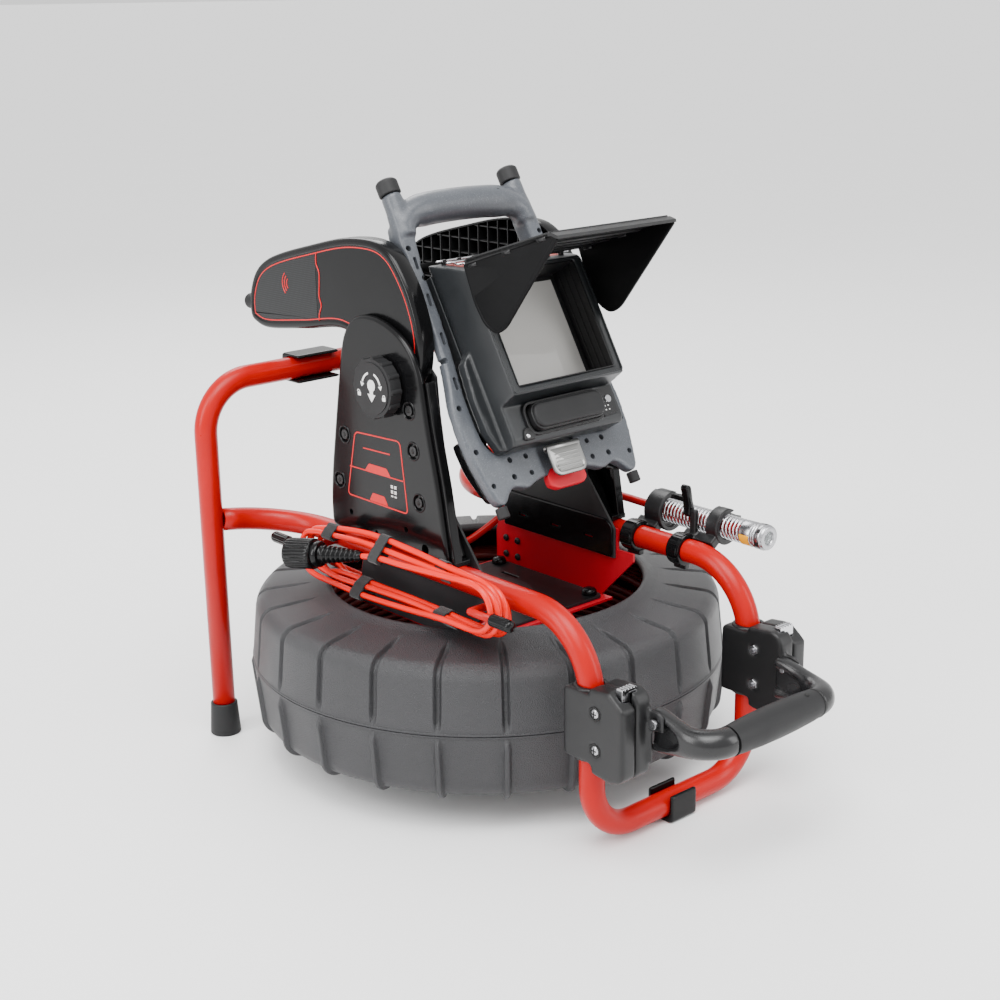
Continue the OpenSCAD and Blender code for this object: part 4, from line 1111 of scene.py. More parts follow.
# ---------------------------------------------------------------- tower covers
COV = round_poly([(110, 254), (111, 285), (107, 321), (95, 388), (84, 446), (78, 470), (66, 488), (48, 497.5), (24, 498.5),
                  (0, 493), (-22, 483), (-40, 466), (-51, 442), (-60, 392), (-74, 333), (-80, 300), (-88, 254)], [9, 20, 30, 40, 40, 30, 30, 30, 30, 30, 30, 30, 40, 40, 40, 40, 9], 5)
SCR = [(80, 363), (-37, 366), (92, 310), (-44, 312), (-32, 408)]
FL = [(-52, 440), (-60, 392), (-74, 333), (-80, 300), (-88, 254), (-94, 254), (-86, 300), (-80, 333), (-66, 392), (-57, 440)]
for side, s in (("left", -1), ("right", 1)):
    fx = (lambda a, b, t, s=s: P(s * t, a, b))
    c = layered("cover_moulding_" + side, COV, [(0.4, 124.0), (0, 124.4), (0, 126.6), (0.3, 127.9), (0.9, 128.9), (1.8, 129.6), (3.0, 130.0), (4.4, 130.0)], fx, None)
    cs_ = [revolve("k", [(0, 127.6), (8.2, 127.6), (8.2, 133), (0, 133)], P(0, y, z), (s, 0, 0), (0, 0, 1), 32) for y, z in SCR]
    cs_ += [revolve("k", [(0, 122), (r, 122), (r, 133), (0, 133)], P(0, y, z), (s, 0, 0), (0, 0, 1), 20) for y, z, r in ((74, 277, 3.2), (-21, 278, 3.2), (-52, 263, 5.5), (30, 263, 2.6))]
    cut(c, cs_)
    bevel(c, 0.0006, 2, 50)
    put(c, "frame", MT["gloss_black"])
    fl = prism("cover_flange_" + side, FL, fx, 114.2, 125, 0.0012, 3)
    fb = prism("cover_bottom_" + side, [(110, 251.2), (-94, 251.2), (-94, 257), (110, 257)], fx, 104, 125.5, 0.001, 2)
    fw = prism("tower_front_wall_" + side, [(-41, 384), (-41, 335), (-44, 315), (-52, 298), (-64, 281), (-78, 257.5), (-84, 257.5), (-70, 283), (-58, 300), (-50, 316), (-47, 336), (-47, 384)], fx, 100.4, 114.4, 0.001, 2)
    for o in (fl, fb, fw):
        put(o, "frame", MT["gloss_black"])
    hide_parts("side_cover_" + side)
    # screw bosses: raised rim, and in each screw a dark hexagon, painted shade of its socket
    rims, hexs = [], []
    for y, z in SCR:
        rims.append(revolve("r", [(8.3, 129.6), (10.4, 129.6), (10.2, 130.4), (9.4, 130.9), (8.7, 130.7), (8.3, 130.2)], P(0, y, z), (s, 0, 0), (0, 0, 1), 40, closed=True))
        hexs.append(revolve("h", [(0, 130.45), (2.6, 130.45), (2.6, 130.72), (0, 130.72)], P(0, y, z), (s, 0, 0), (0, 0, 1), 6))
    rj, hj = join("cover_boss_rims_" + side, rims), join("cover_screw_sockets_" + side, hexs)
    put(rj, "frame", MT["gloss_black"])
    put(hj, "frame", SHADE_AND_SEAM_DARK)
    LB = round_poly([(62, 370), (-16, 373), (-26, 295), (79, 296)], 7, 6)
    bd = ring_plate("cover_label_border_" + side, LB, 0, 1.5, fx, 129.9, 130.25)
    tz = [plate("t", q, fx, 129.9, 130.22, 0.08) for q in (
        round_poly([(40, 297.5), (8, 297.2), (14, 306.5), (34, 306.8)], 1.5), round_poly([(46, 330), (2, 330.4), (9, 338.5), (39, 338.3)], 1.5),
        round_poly([(73, 328.6), (-19, 329.4), (-19, 330.8), (73, 330.0)], 0.5), round_poly([(48, 353.2), (2, 354.4), (2, 355.8), (48, 354.6)], 0.5))]
    rd = join("cover_label_red_" + side, [bd] + tz)
    put(rd, "frame", REDLINE)
    sq_ = []
    for i in range(7):
        for j in range(7):
            if (i * 5 + j * 3 + i * j) % 3:
                y, z = -9 + i * 1.9, 309 + j * 1.9
                sq_.append(((129.9, y, z), (130.2, y + 1.7, z + 1.7)))
    dm = boxes("cover_dot_mark_" + side, sq_, lambda x, y, z, s=s: P(s * x, y, z), 0, 1)
    put(dm, "frame", WHITE)

# black skin on the outside of the left wing
lw = prism("left_wing_skin", [(94, 162), (-77, 162), (-128, 213.5), (-128, 221), (-105, 221), (-105, 244.5), (82, 244.5), (94, 200)], lambda a, b, t: P(-t, a, b), 103.3, 104.5, 0.0003, 1)
put(lw, "frame", MT["sheet_black"])

# ---------------------------------------------------------------- knob marks
for side, s in (("left", -1), ("right", 1)):
    fx = (lambda a, b, t, s=s: P(s * t, 6 - s * a, 428 + b))
    T0, T1 = 147.9, 148.35
    ps = [plate("m", [(-2.6, 9), (-2.6, -6), (-6.5, -6), (0, -14.5), (6.5, -6), (2.6, -6), (2.6, 9)], fx, T0, T1, 0.1),
          plate("m", circ(0, 3, 6.2, 28), fx, T0, T1 + 0.05, 0.1)]
    for q in (1, -1):
        o1 = circ(0, 1, 16.4, 16, 90 - q * 18, 90 - q * 72) + list(reversed(circ(0, 1, 14.2, 16, 90 - q * 18, 90 - q * 72)))
        ps.append(plate("m", o1, fx, T0, T1, 0.1))
        w = math.radians(90 - q * 76)
        cx, cy = 15.3 * math.cos(w), 1 + 15.3 * math.sin(w)
        tx, ty = math.sin(w) * q, -math.cos(w) * q
        ps.append(plate("m", [(cx + tx * 4.6, cy + ty * 4.6), (cx + math.cos(w) * 3.2, cy + math.sin(w) * 3.2), (cx - math.cos(w) * 3.2, cy - math.sin(w) * 3.2)], fx, T0, T1, 0.1))
        lx, lz = q * 20.5, -7.5
        ps.append(plate("m", round_poly([(lx - 2.6, lz - 2.6), (lx + 2.6, lz - 2.6), (lx + 2.6, lz + 1.4), (lx - 2.6, lz + 1.4)], 0.6), fx, T0, T1, 0.1))
        ps.append(plate("m", circ(lx + (1.2 if q > 0 else 0), lz + 1.6, 2.3, 12, 0, 180) + list(reversed(circ(lx + (1.2 if q > 0 else 0), lz + 1.6, 1.4, 12, 0, 180))), fx, T0, T1, 0.08))
    kj = join("knob_marks_" + side, ps)
    put(kj, "knob_" + side, WHITE)

# ---------------------------------------------------------------- monitor details
ln = []
ln.append(prism("l", [(104, 17.5), (104, 54.4), (105.2, 54.4), (105.2, 17.5)], lambda a, b, t: M(t, b, a), -67.9, 67.9, 0.0002, 1))
ln.append(prism("l", [(224.8, 17.5), (224.8, 54.8), (226, 54.8), (226, 17.5)], lambda a, b, t: M(t, b, a), -67.9, 67.9, 0.0002, 1))
for s in (-1, 1):
    ln.append(prism("l", [(104, 17.5), (104, 54.4), (226, 54.8), (226, 17.5)], lambda a, b, t, s=s: M(s * t, b, a), 66.6, 67.95, 0.0002, 1))
    for k in range(3):
        ln.append(prism("l", [(106, 26 + 9 * k), (106, 28 + 9 * k), (224, 28 + 9 * k), (224, 26 + 9 * k)], lambda a, b, t, s=s: M(s * t, b, a), 65.6, 66.8, 0.0003, 1))
for o in ln:
    bake(o)
lj = join("display_liner", ln)
put(lj, "monitor", MT["plastic_black"])
gs = ring_plate("display_gasket", round_poly([(-66.5, 105.5), (66.5, 105.5), (66.5, 224.5), (-66.5, 224.5)], 3), 0, 4.5, lambda a, b, t: M(a, t, b), 17.9, 19.2)
put(gs, "monitor", MT["rubber_black"])
# lip round the hood of the display box
lip = ring_plate("display_lip", round_poly([(-77.4, 97), (77.4, 97), (77.4, 229.5), (-77.4, 229.5)], 5), 0, 2.2, lambda a, b, t: M(a, t + (b - 96) / 134, b), 54.6, 56.2)
bevel(lip, 0.0005, 2)
lip.data.shade_smooth()
put(lip, "monitor", MT["housing_grey"])


def TOPN(q, off=0.0):
    """A point on the sloping top of the housing: q = 0 at the back, 1 at the front edge."""
    n, u = q * 51, 262 - 28 * q
    k = off / math.hypot(28, 51)
    return n + 28 * k, u + 51 * k


def top(x, q, off):
    n, u = TOPN(q, off)
    return M(x, n, u)


lab = plate("top_label", round_poly([(-62, 0.2), (62, 0.2), (62, 0.9), (-62, 0.9)], 0.05), lambda a, b, t: top(a, b, t), 0.0, 0.35, 0.02)
put(lab, "monitor", mat("top_label_print", (168, 78, 70), 0.4, vary=0.35, vscale=260, bump=0.05))
tr_ = []
for k in range(7):
    x = -60 + 20 * k
    tr_.append(tube("w", [top(x, q, 2.2) for q in np.linspace(0.1, 0.95, 12)], 0.0009, 8))
for q in (0.1, 0.38, 0.66, 0.95):
    tr_.append(tube("w", [top(x, q, 3.4) for x in np.linspace(-70, 70, 16)], 0.0012, 8))
wg = join("top_wire_guard", tr_)
wg.data.shade_smooth()
put(wg, "monitor", MT["chrome_steel"])
cl = []
for k in range(7):
    x = -60 + 20 * k
    for q in (0.1, 0.95):
        cl.append(boxes("c", [((x - 2.4, q - 0.035, -0.3), (x + 2.4, q + 0.035, 4.9))], lambda a, b, c: top(a, b, c), 0, 1))
cj = join("top_guard_clips", cl)
bevel(cj, 0.0006, 2)
put(cj, "monitor", MT["plastic_black"])

# latch flap with ribs
fo = round_poly([(-23, 44), (-23, 13), (23, 13), (23, 44)], [1.5, 11, 11, 1.5], 8)
fp = layered("f", fo, [(0.6, 7.1), (0, 7.6), (0, 9.4), (0.4, 10.1), (1.2, 10.5), (3.2, 10.5), (3.8, 9.9), (4.2, 9.6), (5.0, 9.6)], lambda a, b, t: M(a, t, b), 40)
rbs = [prism("r", round_poly([(u, 9.4), (u + 2.2, 9.4), (u + 1.8, 11.0), (u + 0.4, 11.0)], 0.4), lambda a, b, t: M(t, b, a), -16.5, 16.5, 0.0004, 2) for u in (18.5, 22.5, 26.5, 30.5, 34.5)]
hb = revolve("hb", [(1.6, -23), (3.6, -23), (4, -22.6), (4, 22.6), (3.6, 23), (1.6, 23)], M(0, 7, 44), (1, 0, 0), (0, 0, 1), 32, closed=True)
for o in rbs:
    bake(o)
fj = join("latch_flap_pressing", [bake(fp)] + rbs + [hb])
put(fj, "latch", SILVER)
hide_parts("latch_flap")
# red catch under the flap, on the monitor
rc = layered("latch_keeper", round_poly([(-22, 8), (-12, 3), (24, 3), (31, 8), (31, 17), (24, 26), (-14, 26), (-22, 18)], 3, 5), [(0.6, -13.4), (0, -12.8), (0, -6.6), (0.5, -5.7), (1.5, -5.3), (2.5, -5.3)], lambda a, b, t: M(a, t, b), 40)
put(rc, "monitor", MT["sheet_red"])

# battery: lid, frame, corner ear and screw
bl = layered("battery_lid", round_poly([(-50, 60.5), (46, 60.5), (46, 86.5), (-50, 86.5)], 11, 8), [(0, 39.5), (0, 42), (0.5, 43.2), (1.6, 43.9), (3, 44.1), (4, 44.1)], lambda a, b, t: M(a, t, b), 40)
put(bl, "battery", MT["rubber_black"])
bz = ring_plate("battery_frame", round_poly([(-56, 55.5), (52, 55.5), (52, 91.5), (-56, 91.5)], 13, 8), 0, 3.4, lambda a, b, t: M(a, t, b), 29.6, 33.5)
bevel(bz, 0.0008, 2)
put(bz, "monitor", MT["plastic_black"])
ear = layered("battery_ear", round_poly([(-66, 53), (-50, 53), (-50, 66), (-62, 66)], 4), [(0, 29.6), (0, 32), (0.5, 32.8), (1.4, 33)], lambda a, b, t: M(a, t, b), 40)
put(ear, "monitor", MT["plastic_black"])
es = revolve("ear_screw", [(0, 32.8), (2.6, 32.8), (2.6, 33.6), (1.6, 34.3), (0, 34.5)], M(-60.5, 0, 57.5), Vector(M(0, 1, 0) - M(0, 0, 0)), (1, 0, 0), 20)
put(es, "monitor", MT["chrome_steel"])
ic = []
for i in range(2):
    for j in range(4):
        ic.append(((53.5 + 5 * i, 32.9, 64 + 4.4 * j), (55.3 + 5 * i, 33.25, 65.2 + 4.4 * j)))
ij = boxes("key_marks", ic, lambda x, n, u: M(x, n, u), 0, 1)
put(ij, "monitor", WHITE)

# casting eyelet and screws on the monitor grip; the eyelet is a dark disc, painted shade of its hole
for x in (-58, 58):
    gsx = revolve("grip_screw_%s" % ("l" if x < 0 else "r"), [(0, 13.2), (2.4, 13.2), (2.4, 14.1), (1.2, 14.6), (0, 14.7)], M(x, -7.5, 327), Vector(M(0, 1, 0) - M(0, 0, 0)), (1, 0, 0), 20)
    put(gsx, "monitor", MT["steel"])
eye = revolve("grip_eyelet", [(0, 7.6), (3.1, 7.6), (3.1, 8.9), (0, 8.9)], M(47, 0, 331), Vector(M(0, 1, 0) - M(0, 0, 0)), (1, 0, 0), 24)
put(eye, "monitor", SHADE_AND_SEAM_DARK)

# dark shoes under the casting's lower corners
for side, s in (("left", -1), ("right", 1)):
    bm = bmesh.new()
    for x, n, u in [(111, -13.6, 74), (105, -13.6, 26), (94, -13.6, 4), (66, -13.6, 10), (60, -13.6, 34), (80, -13.6, 84),
                    (108, -32, 78), (103, -36, 50), (94, -34, 26), (76, -30, 26), (80, -34, 70), (98, -24, 8)]:
        bm.verts.new(M(s * x, n, u))
    bmesh.ops.convex_hull(bm, input=bm.verts)
    me = bpy.data.meshes.new("shoe")
    bm.to_mesh(me)
    bm.free()
    so = bpy.data.objects.new("shoe", me)
    bpy.context.scene.collection.objects.link(so)
    sh_ = rounded_cad("casting_shoe_" + side, [so], 0.002, 20, factor=0.6)
    bpy.data.objects.remove(so)
    put(sh_, "monitor", MT["gloss_black"])

# ---------------------------------------------------------------- carried CAD nodes
DONE = set()
LOOK = {}
def look(name, material, **kw):
    dress(name, material, **kw)
    DONE.add(name)


for nm, mk_, kw in [
    ("front_loop_tube", "tube_red", dict(bev=0)),
    ("rear_leg_frame", "tube_red", dict(bev=0)),
    ("leg_feet", "rubber_black", dict(bev=0.0006, dissolve=False)),
    ("hub_bracket", "sheet_red", dict(bev=0.0006)),
    ("bracket_cover", "sheet_black", dict(bev=0.001)),
    ("frame_screws", "plastic_black", dict(bev=0.0004)),
    ("hub_shaft", "steel", dict(bev=0.0006)),
    ("slip_ring", "brass", dict(bev=0.0004)),
    ("hub_nut", "steel", dict(bev=0.0008)),
    ("dock_plate_left", "sheet_black", dict(bev=0.0006)),
    ("dock_plate_right", "sheet_black", dict(bev=0.0006)),
    ("tilt_bolts", "steel", dict(bev=0.0005)),
    ("drum_hub", "plastic_black", dict(bev=0.001)),
    ("hub_bearings", "steel", dict(bev=0.0006)),
    ("arm_cross_tube", "plastic_black", dict(bev=0)),
    ("arm_end_knobs", "rubber_black", dict(bev=0.001)),
    ("monitor_back", "housing_grey", dict(bev=0.001)),
    ("corner_caps", "rubber_black", dict(bev=0.0014, segs=3)),
    ("battery_pack", "plastic_black", dict(bev=0.0014, segs=3)),
    ("keypad", "plastic_black", dict(bev=0.0008)),
    ("power_button", "steel", dict(bev=0.0006)),
    ("sunshade_top", "plastic_black", dict(bev=0.0007)),
    ("release_button_left", "chrome_steel", dict(bev=0.0006)),
    ("release_button_right", "chrome_steel", dict(bev=0.0006)),
    ("hinge_pins", "steel", dict(bev=0.0004)),
    ("cable_cleat", "tube_red", dict(bev=0)),
]:
    look(nm, MT[mk_], **kw)
look("screen_panel", SCREEN, bev=0.0004)

# moulded pieces with rounded edges
VX = 0.0013


def mould(name, sources, body, material, iters=10, cuts=(), adds=(), vx=None):
    o = rounded_cad(name, sources, vx or VX, iters, cuts, adds)
    put(o, body, MT[material])
    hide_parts(*[s for s in sources])
    return o


# monitor casting: rails, lower bridge, posts and grip in one moulded shape
railo = [(88, 2), (94, 0.5), (100, 3), (108, 30), (113, 62), (112, 110), (106, 134), (101.5, 156), (99, 205), (97.5, 240), (97.5, 268), (97.5, 292), (96, 312), (93, 330)]
raili = [(76, 330), (73.5, 318), (73, 306), (77.5, 292), (83, 272), (83, 240), (84, 200), (87, 160), (91, 124), (91.5, 84), (87, 62), (78, 54), (66, 53), (44, 60), (20, 60.5)]
lower = [(-20, 20), (-40, 16), (-54, 11.5), (-72, 15.5), (-82, 9)]
right = smooth_poly([(0, 60.5)] + [(0, 20)] + [(a * -1, b) for a, b in lower] + railo + raili, 2.5)
uo = [q for q in right if q[0] > 0.5]
uo = uo + [(-a, b) for a, b in reversed(uo)]
ub = prism("u", uo, lambda a, b, t: M(a, t, b), -14, -1)
adds_ = [ub]
NV = Vector(M(0, 1, 0) - M(0, 0, 0)).normalized()
UV = Vector(M(0, 0, 1) - M(0, 0, 0)).normalized()
for s in (-1, 1):
    adds_.append(revolve("p", [(0, -2), (11.2, -2), (11.2, 30), (0, 30)], M(s * 84, -7.5, 316), UV, (1, 0, 0), 40))
    adds_.append(prism("q", [(s * 79, 268), (s * 97, 262), (s * 97, 296), (s * 93, 316), (s * 78, 316), (s * 77, 296)], lambda a, b, t: M(a, t, b), -24, -3))
    adds_.append(revolve("w", [(0, 0), (12.5, 0), (11.2, 24), (0, 24)], M(s * 84.6, -7.5, 298), UV, (1, 0, 0), 40))
gp = spline([(-84, -7.5, 309), (-78, -7.5, 316), (-68, -7.5, 323), (-50, -7.5, 326.5), (0, -7.5, 328.5), (50, -7.5, 326.5), (68, -7.5, 323), (78, -7.5, 316), (84, -7.5, 309)], 3.0)
adds_.append(tube("g", [M(p.x, p.y, p.z) for p in gp], 0.015, 28, radii=[(13.4 + 4.4 * sq(84, 50, abs(p.x))) / 1000 for p in gp]))
for a_ in adds_:
    fix_normals(a_)
mf = rounded_cad("monitor_frame_casting", [], 0.0014, 34, adds=adds_)
hc = [boxes("c", [((-27, -6.5, 18), (27, 4, 66))], lambda x, y, z: M(x, y, z), 0, 1)]
for s in (-1, 1):
    for a_, b_, r_ in ((86, 250, 3.2), (99, 160, 3.2), (104.5, 108, 3.2), (104, 60, 3.2), (66, 44, 3.2), (68, 26, 3.2), (44, 44, 3.0), (44, 26, 3.0), (98, 22, 3.0), (92, 284, 3.2)):
        hc.append(revolve("c", [(0, -30), (r_, -30), (r_, 12), (0, 12)], M(s * a_, 0, b_), NV, (1, 0, 0), 28))
    for a_, b_ in ((91, 226), (92.5, 183), (97.5, 134), (90, 267)):
        hc.append(prism("c", round_poly([(s * (a_ - 2), b_ - 7), (s * (a_ + 2), b_ - 7), (s * (a_ + 1), b_ + 7), (s * (a_ - 3), b_ + 7)], 1.5, 4), lambda a, b, t: M(a, t, b), -30, 6))
cut(mf, hc)
mf.data.shade_smooth()
e = mf.modifiers.new("edges", "EDGE_SPLIT")
e.split_angle = math.radians(50)
put(mf, "monitor", MT["monitor_grey"])
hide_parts("monitor_frame", "monitor_grip")
mould("monitor_housing_moulding", ["monitor_housing"], "monitor", "housing_grey", 14, vx=0.0013)
mould("camera_clip_rear_moulding", ["camera_clip_rear"], "frame", "plastic_black", 6, vx=0.001)
mould("camera_clip_front_moulding", ["camera_clip_front"], "frame", "plastic_black", 6, vx=0.001)
look("handle_grip", MT["rubber_black"], bev=0.0008)
look("lock_knob_left", MT["rubber_black"], bev=0.0022, segs=4)
look("lock_knob_right", MT["rubber_black"], bev=0.0022, segs=4)
for q in ((108, 1), (-168, -1)):
    pr = [(4.05, 0.4), (5.9, 0.0), (6.5, 0.6), (6.5, 3), (6.5, 22), (6.5, 24), (6.0, 26.4), (5.0, 28.2), (3.4, 29), (0, 29), (0, 9), (4.05, 9)]
    cp = fluted("cleat_cap_%s" % ("rear" if q[1] > 0 else "front"), pr, P(-169, q[0] + q[1] * 32, 236), (0, q[1], 0), (1, 0, 0), 6.2, 0.55, 12, 8, 2, 24.5)
    put(cp, "frame", MT["gloss_black"])
    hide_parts("cleat_caps")

# ---------------------------------------------------------------- rounded clips
mould("loop_clip_moulding", ["loop_foot_clip"], "frame", "gloss_black", 22, vx=0.0012)
mould("top_bar_clip_moulding", ["top_bar_clip"], "frame", "gloss_black", 22, vx=0.0014)

# ---------------------------------------------------------------- clamps
def boxcut(lo, hi):
    return boxes("c", [(lo, hi)], lambda x, y, z: P(x, y, z), 0, 1)


def cylcut(x0, x1, r, y, z, n=32):
    return revolve("c", [(0, 0), (r, 0), (r, abs(x1 - x0)), (0, abs(x1 - x0))], P(min(x0, x1), y, z), (1, 0, 0), (0, 0, 1), n)


cuts_o = []
for s in (-1, 1):
    for z in (123, 161):
        cuts_o.append(cylcut(s * 133.2, s * 145, 6.6, -306, z))
    a, b = sorted((s * 112, s * 140))
    cuts_o.append(boxcut((a, -297, 178.5), (b, -255, 200)))
    cuts_o.append(boxcut((a, -300, 80), (b, -255, 106)))
    cuts_o.append(prism("c", [(-343.5, 172), (-343.5, 190), (-320, 190)], lambda y, z, t: P(t, y, z), a, b))
mould("clamp_outer_moulding", ["clamp_outer_shells"], "frame", "plastic_black", 42, cuts=cuts_o, vx=0.0013)
cuts_i = []
for s in (-1, 1):
    for z in (123, 161):
        cuts_i.append(cylcut(s * 90, s * 99, 6.6, -306, z, 6))
    a, b = sorted((s * 90, s * 120))
    cuts_i.append(boxcut((a, -297, 178.5), (b, -255, 200)))
    cuts_i.append(boxcut((a, -300, 80), (b, -255, 106)))
mould("clamp_inner_moulding", ["clamp_inner_shells"], "frame", "plastic_black", 34, cuts=cuts_i, vx=0.0013)
# raised collars where the tube enters and leaves
cols = []
for s in (-1, 1):
    for z0, z1 in ((175, 180), (104.5, 110)):
        cols.append(revolve("c", [(12.8, z0), (17.0, z0), (17.8, z0 + 0.8), (17.8, z1 - 1.2), (16.6, z1), (12.8, z1)], P(s * 116, -283, 0), (0, 0, 1), (1, 0, 0), 48, closed=True))
cj2 = join("clamp_collars", cols)
put(cj2, "frame", MT["plastic_black"])
scs, drk = [], []
for s in (-1, 1):
    for z in (123, 161):
        scs.append(revolve("s", [(0, 92), (2.4, 92), (2.4, 133.4), (5.4, 133.4), (5.4, 134.4), (4.6, 135.6), (3.0, 136.4), (0, 136.7)], P(0, -306, z), (s, 0, 0), (0, 0, 1), 32))
        scs.append(revolve("n", [(2.2, 96.0), (5.2, 96.0), (5.6, 96.5), (5.6, 100.5), (2.2, 100.5)], P(0, -306, z), (s, 0, 0), (0, 0, 1), 6, closed=True))
        # dark ring round each screw head and a dark cross on it: painted shade of the recess and of the cross slot
        drk.append(revolve("r", [(5.6, 133.4), (7.9, 133.4), (7.9, 135.75), (7.5, 136.05), (6.0, 136.05), (5.6, 135.4)], P(0, -306, z), (s, 0, 0), (0, 0, 1), 6, closed=True))
        a, b = sorted((s * 135.2, s * 136.95))
        drk.append(boxes("x", [((a, -306 - 3.0, z - 0.55), (b, -306 + 3.0, z + 0.55)), ((a, -306 - 0.55, z - 3.0), (b, -306 + 0.55, z + 3.0))], lambda x, y, z_: P(x, y, z_), 0, 1))
sj = join("clamp_screw_set", scs)
put(sj, "frame", MT["steel"])
e = sj.modifiers.new("edges", "EDGE_SPLIT")
e.split_angle = math.radians(40)
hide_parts("clamp_screws")
dj = join("clamp_screw_recesses", drk)
put(dj, "frame", SHADE_AND_SEAM_DARK)

# ---------------------------------------------------------------- folding handle arms
arm_adds, cuts_h = [], []
for s in (-1, 1):
    st = spline([(90.5, -343.5, 145), (91, -356, 145), (91.5, -372, 144.5), (90, -388, 144), (84, -401, 144.6), (74, -409, 145), (62, -411, 145)], 2.5)
    V, F, m = [], [], 32
    n = len(st)
    for k, p in enumerate(st):
        a_, b_ = st[max(0, k - 1)], st[min(n - 1, k + 1)]
        t_ = (b_ - a_).normalized()
        sd = Vector((t_.y, -t_.x, 0)).normalized()
        f_ = k / (n - 1)
        hh = 14.6 + 7.6 * sq(0.62, 0.0, f_)
        ht = 14.6 - 5.6 * sq(0.75, 0.25, f_)
        ex = 1.0 - 0.5 * sq(0.8, 0.1, f_)
        for q in range(m):
            w = 2 * math.pi * q / m
            cx, cz = math.cos(w), math.sin(w)
            cx, cz = math.copysign(abs(cx) ** ex, cx) * ht, math.copysign(abs(cz) ** ex, cz) * hh
            V.append(P(s * (p.x + sd.x * cx), p.y + sd.y * cx, p.z + cz))
    for k in range(n - 1):
        for q in range(m):
            F.append((k * m + q, k * m + (q + 1) % m, (k + 1) * m + (q + 1) % m, (k + 1) * m + q))
    F += [tuple(reversed(range(m))), tuple((n - 1) * m + q for q in range(m))]
    arm_adds.append(fix_normals(mesh_obj("a", V, F)))
    for lo_, hi_ in ((94.5, 112), (70, 85.5)):
        a, b = sorted((s * lo_, s * hi_))
        cuts_h.append(prism("c", round_poly([(-335, 158), (-335, 132.5), (-362, 131), (-378, 139), (-382, 146), (-376, 151.5), (-360, 158)], [1, 1, 6, 6, 6, 6, 6], 5), lambda y, z, t: P(t, y, z), a, b))
am = rounded_cad("handle_arm_moulding", [], 0.0013, 9, cuts=cuts_h, adds=arm_adds)
put(am, "handle", MT["arm_black"])
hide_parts("handle_arms")
seam = tube("grip_seam", [P(x, -411 - 0.26 * (17 - 0.0006 * x * x), 145 - 0.97 * (17 - 0.00064 * x * x)) for x in np.linspace(-61, 61, 50)], 0.0004, 6)
put(seam, "handle", SHADE_AND_SEAM_DARK)
for x in (-62.5, 62.5):
    gr = revolve("grip_joint_%s" % ("l" if x < 0 else "r"), [(14.2, -0.5), (14.9, -0.5), (14.9, 0.5), (14.2, 0.5)], P(x, -411, 145), (1, 0, 0), (0, 0, 1), 48, closed=True)
    put(gr, "handle", SHADE_AND_SEAM_DARK)
# dark disc on the grip: painted shade of a hole
ge = revolve("grip_hole", [(0, 15.4), (2.4, 15.4), (2.4, 16.35), (0, 16.35)], P(46, -411, 145), (0, -0.25, 0.97), (1, 0, 0), 20)
put(ge, "handle", SHADE_AND_SEAM_DARK)

# ---------------------------------------------------------------- camera clips, lever, band
bn = []
for y0, w in ((-110, 18), (-179, 17)):
    prof = [(13.0, 0, 0), (16.2, 0, 0), (17.2, 0.5, 0), (17.2, 2.2, 0), (17.1, 2.5, 1), (17.9, 2.9, 1), (17.9, w - 2.9, 1), (17.1, w - 2.5, 1), (17.2, w - 2.2, 0), (17.2, w - 0.5, 0), (16.2, w, 0), (13.0, w, 0)]
    m, V, F, angs = len(prof), [], [], []
    for k in range(9):
        for q, up_ in ((1, 0), (2.2, 1), (12, 1), (21, 1), (31, 1), (32.2, 0), (36, 0)):
            angs.append((k * 40 + q, up_))
    for w_, up_ in angs:
        th = math.radians(w_)
        for r, h, lug in prof:
            r2 = r - (0.9 if lug and not up_ else 0)
            V.append(P(116 + r2 * math.cos(th), y0 - h, 239 + r2 * math.sin(th)))
    n = len(angs)
    for k in range(n):
        for i in range(m):
            F.append((k * m + i, ((k + 1) % n) * m + i, ((k + 1) % n) * m + (i + 1) % m, k * m + (i + 1) % m))
    o = fix_normals(mesh_obj("b", V, F))
    e = o.modifiers.new("edges", "EDGE_SPLIT")
    e.split_angle = math.radians(30)
    bn.append(bake(o))
bnj = join("clip_tube_bands", bn)
put(bnj, "frame", MT["gloss_black"])
rg = []
for y0, w, ri, ro, a0, a1 in ((-119, 24, 18.2, 22.6, 100, 395), (-207, 16, 14.2, 20.2, 85, 380)):
    V, F = [], []
    prof = [(ri, 0), (ro - 1.2, 0), (ro, 1.2), (ro - 0.8, w / 2), (ro, w - 1.2), (ro - 1.2, w), (ri, w), (ri + 0.8, w / 2)]
    n, m = 60, len(prof)
    for k in range(n + 1):
        th = math.radians(a0 + (a1 - a0) * k / n)
        fl_ = 0 if k < n - 8 else (k - n + 8) * 0.35
        for r, h in prof:
            V.append(P(150 + (r + fl_) * math.cos(th), y0 - h, 264 + (r + fl_) * math.sin(th)))
    for k in range(n):
        for i in range(m):
            F.append((k * m + i, (k + 1) * m + i, (k + 1) * m + (i + 1) % m, k * m + (i + 1) % m))
    F += [tuple(range(m)), tuple(n * m + i for i in reversed(range(m)))]
    o = fix_normals(mesh_obj("g", V, F))
    e = o.modifiers.new("edges", "EDGE_SPLIT")
    e.split_angle = math.radians(45)
    rg.append(bake(o))
rgj = join("camera_rings", rg)
put(rgj, "frame", MT["plastic_black"])
lv = layered("clip_thumb_lever", smooth_poly([(125.2, 274), (129.5, 272), (134, 276), (133.4, 283), (131.2, 291), (129.6, 300), (127.2, 307), (123.2, 308.4), (120.4, 305.6), (121.8, 299), (124.2, 290), (125.4, 281)], 1.2),
             [(0.8, -188.6), (0.25, -188.2), (0, -187.5), (0, -180.6), (0.25, -179.9), (0.8, -179.5)], lambda a, b, t: P(a, t, b), 50)
put(lv, "lever", MT["gloss_black"])
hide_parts("clip_lever")
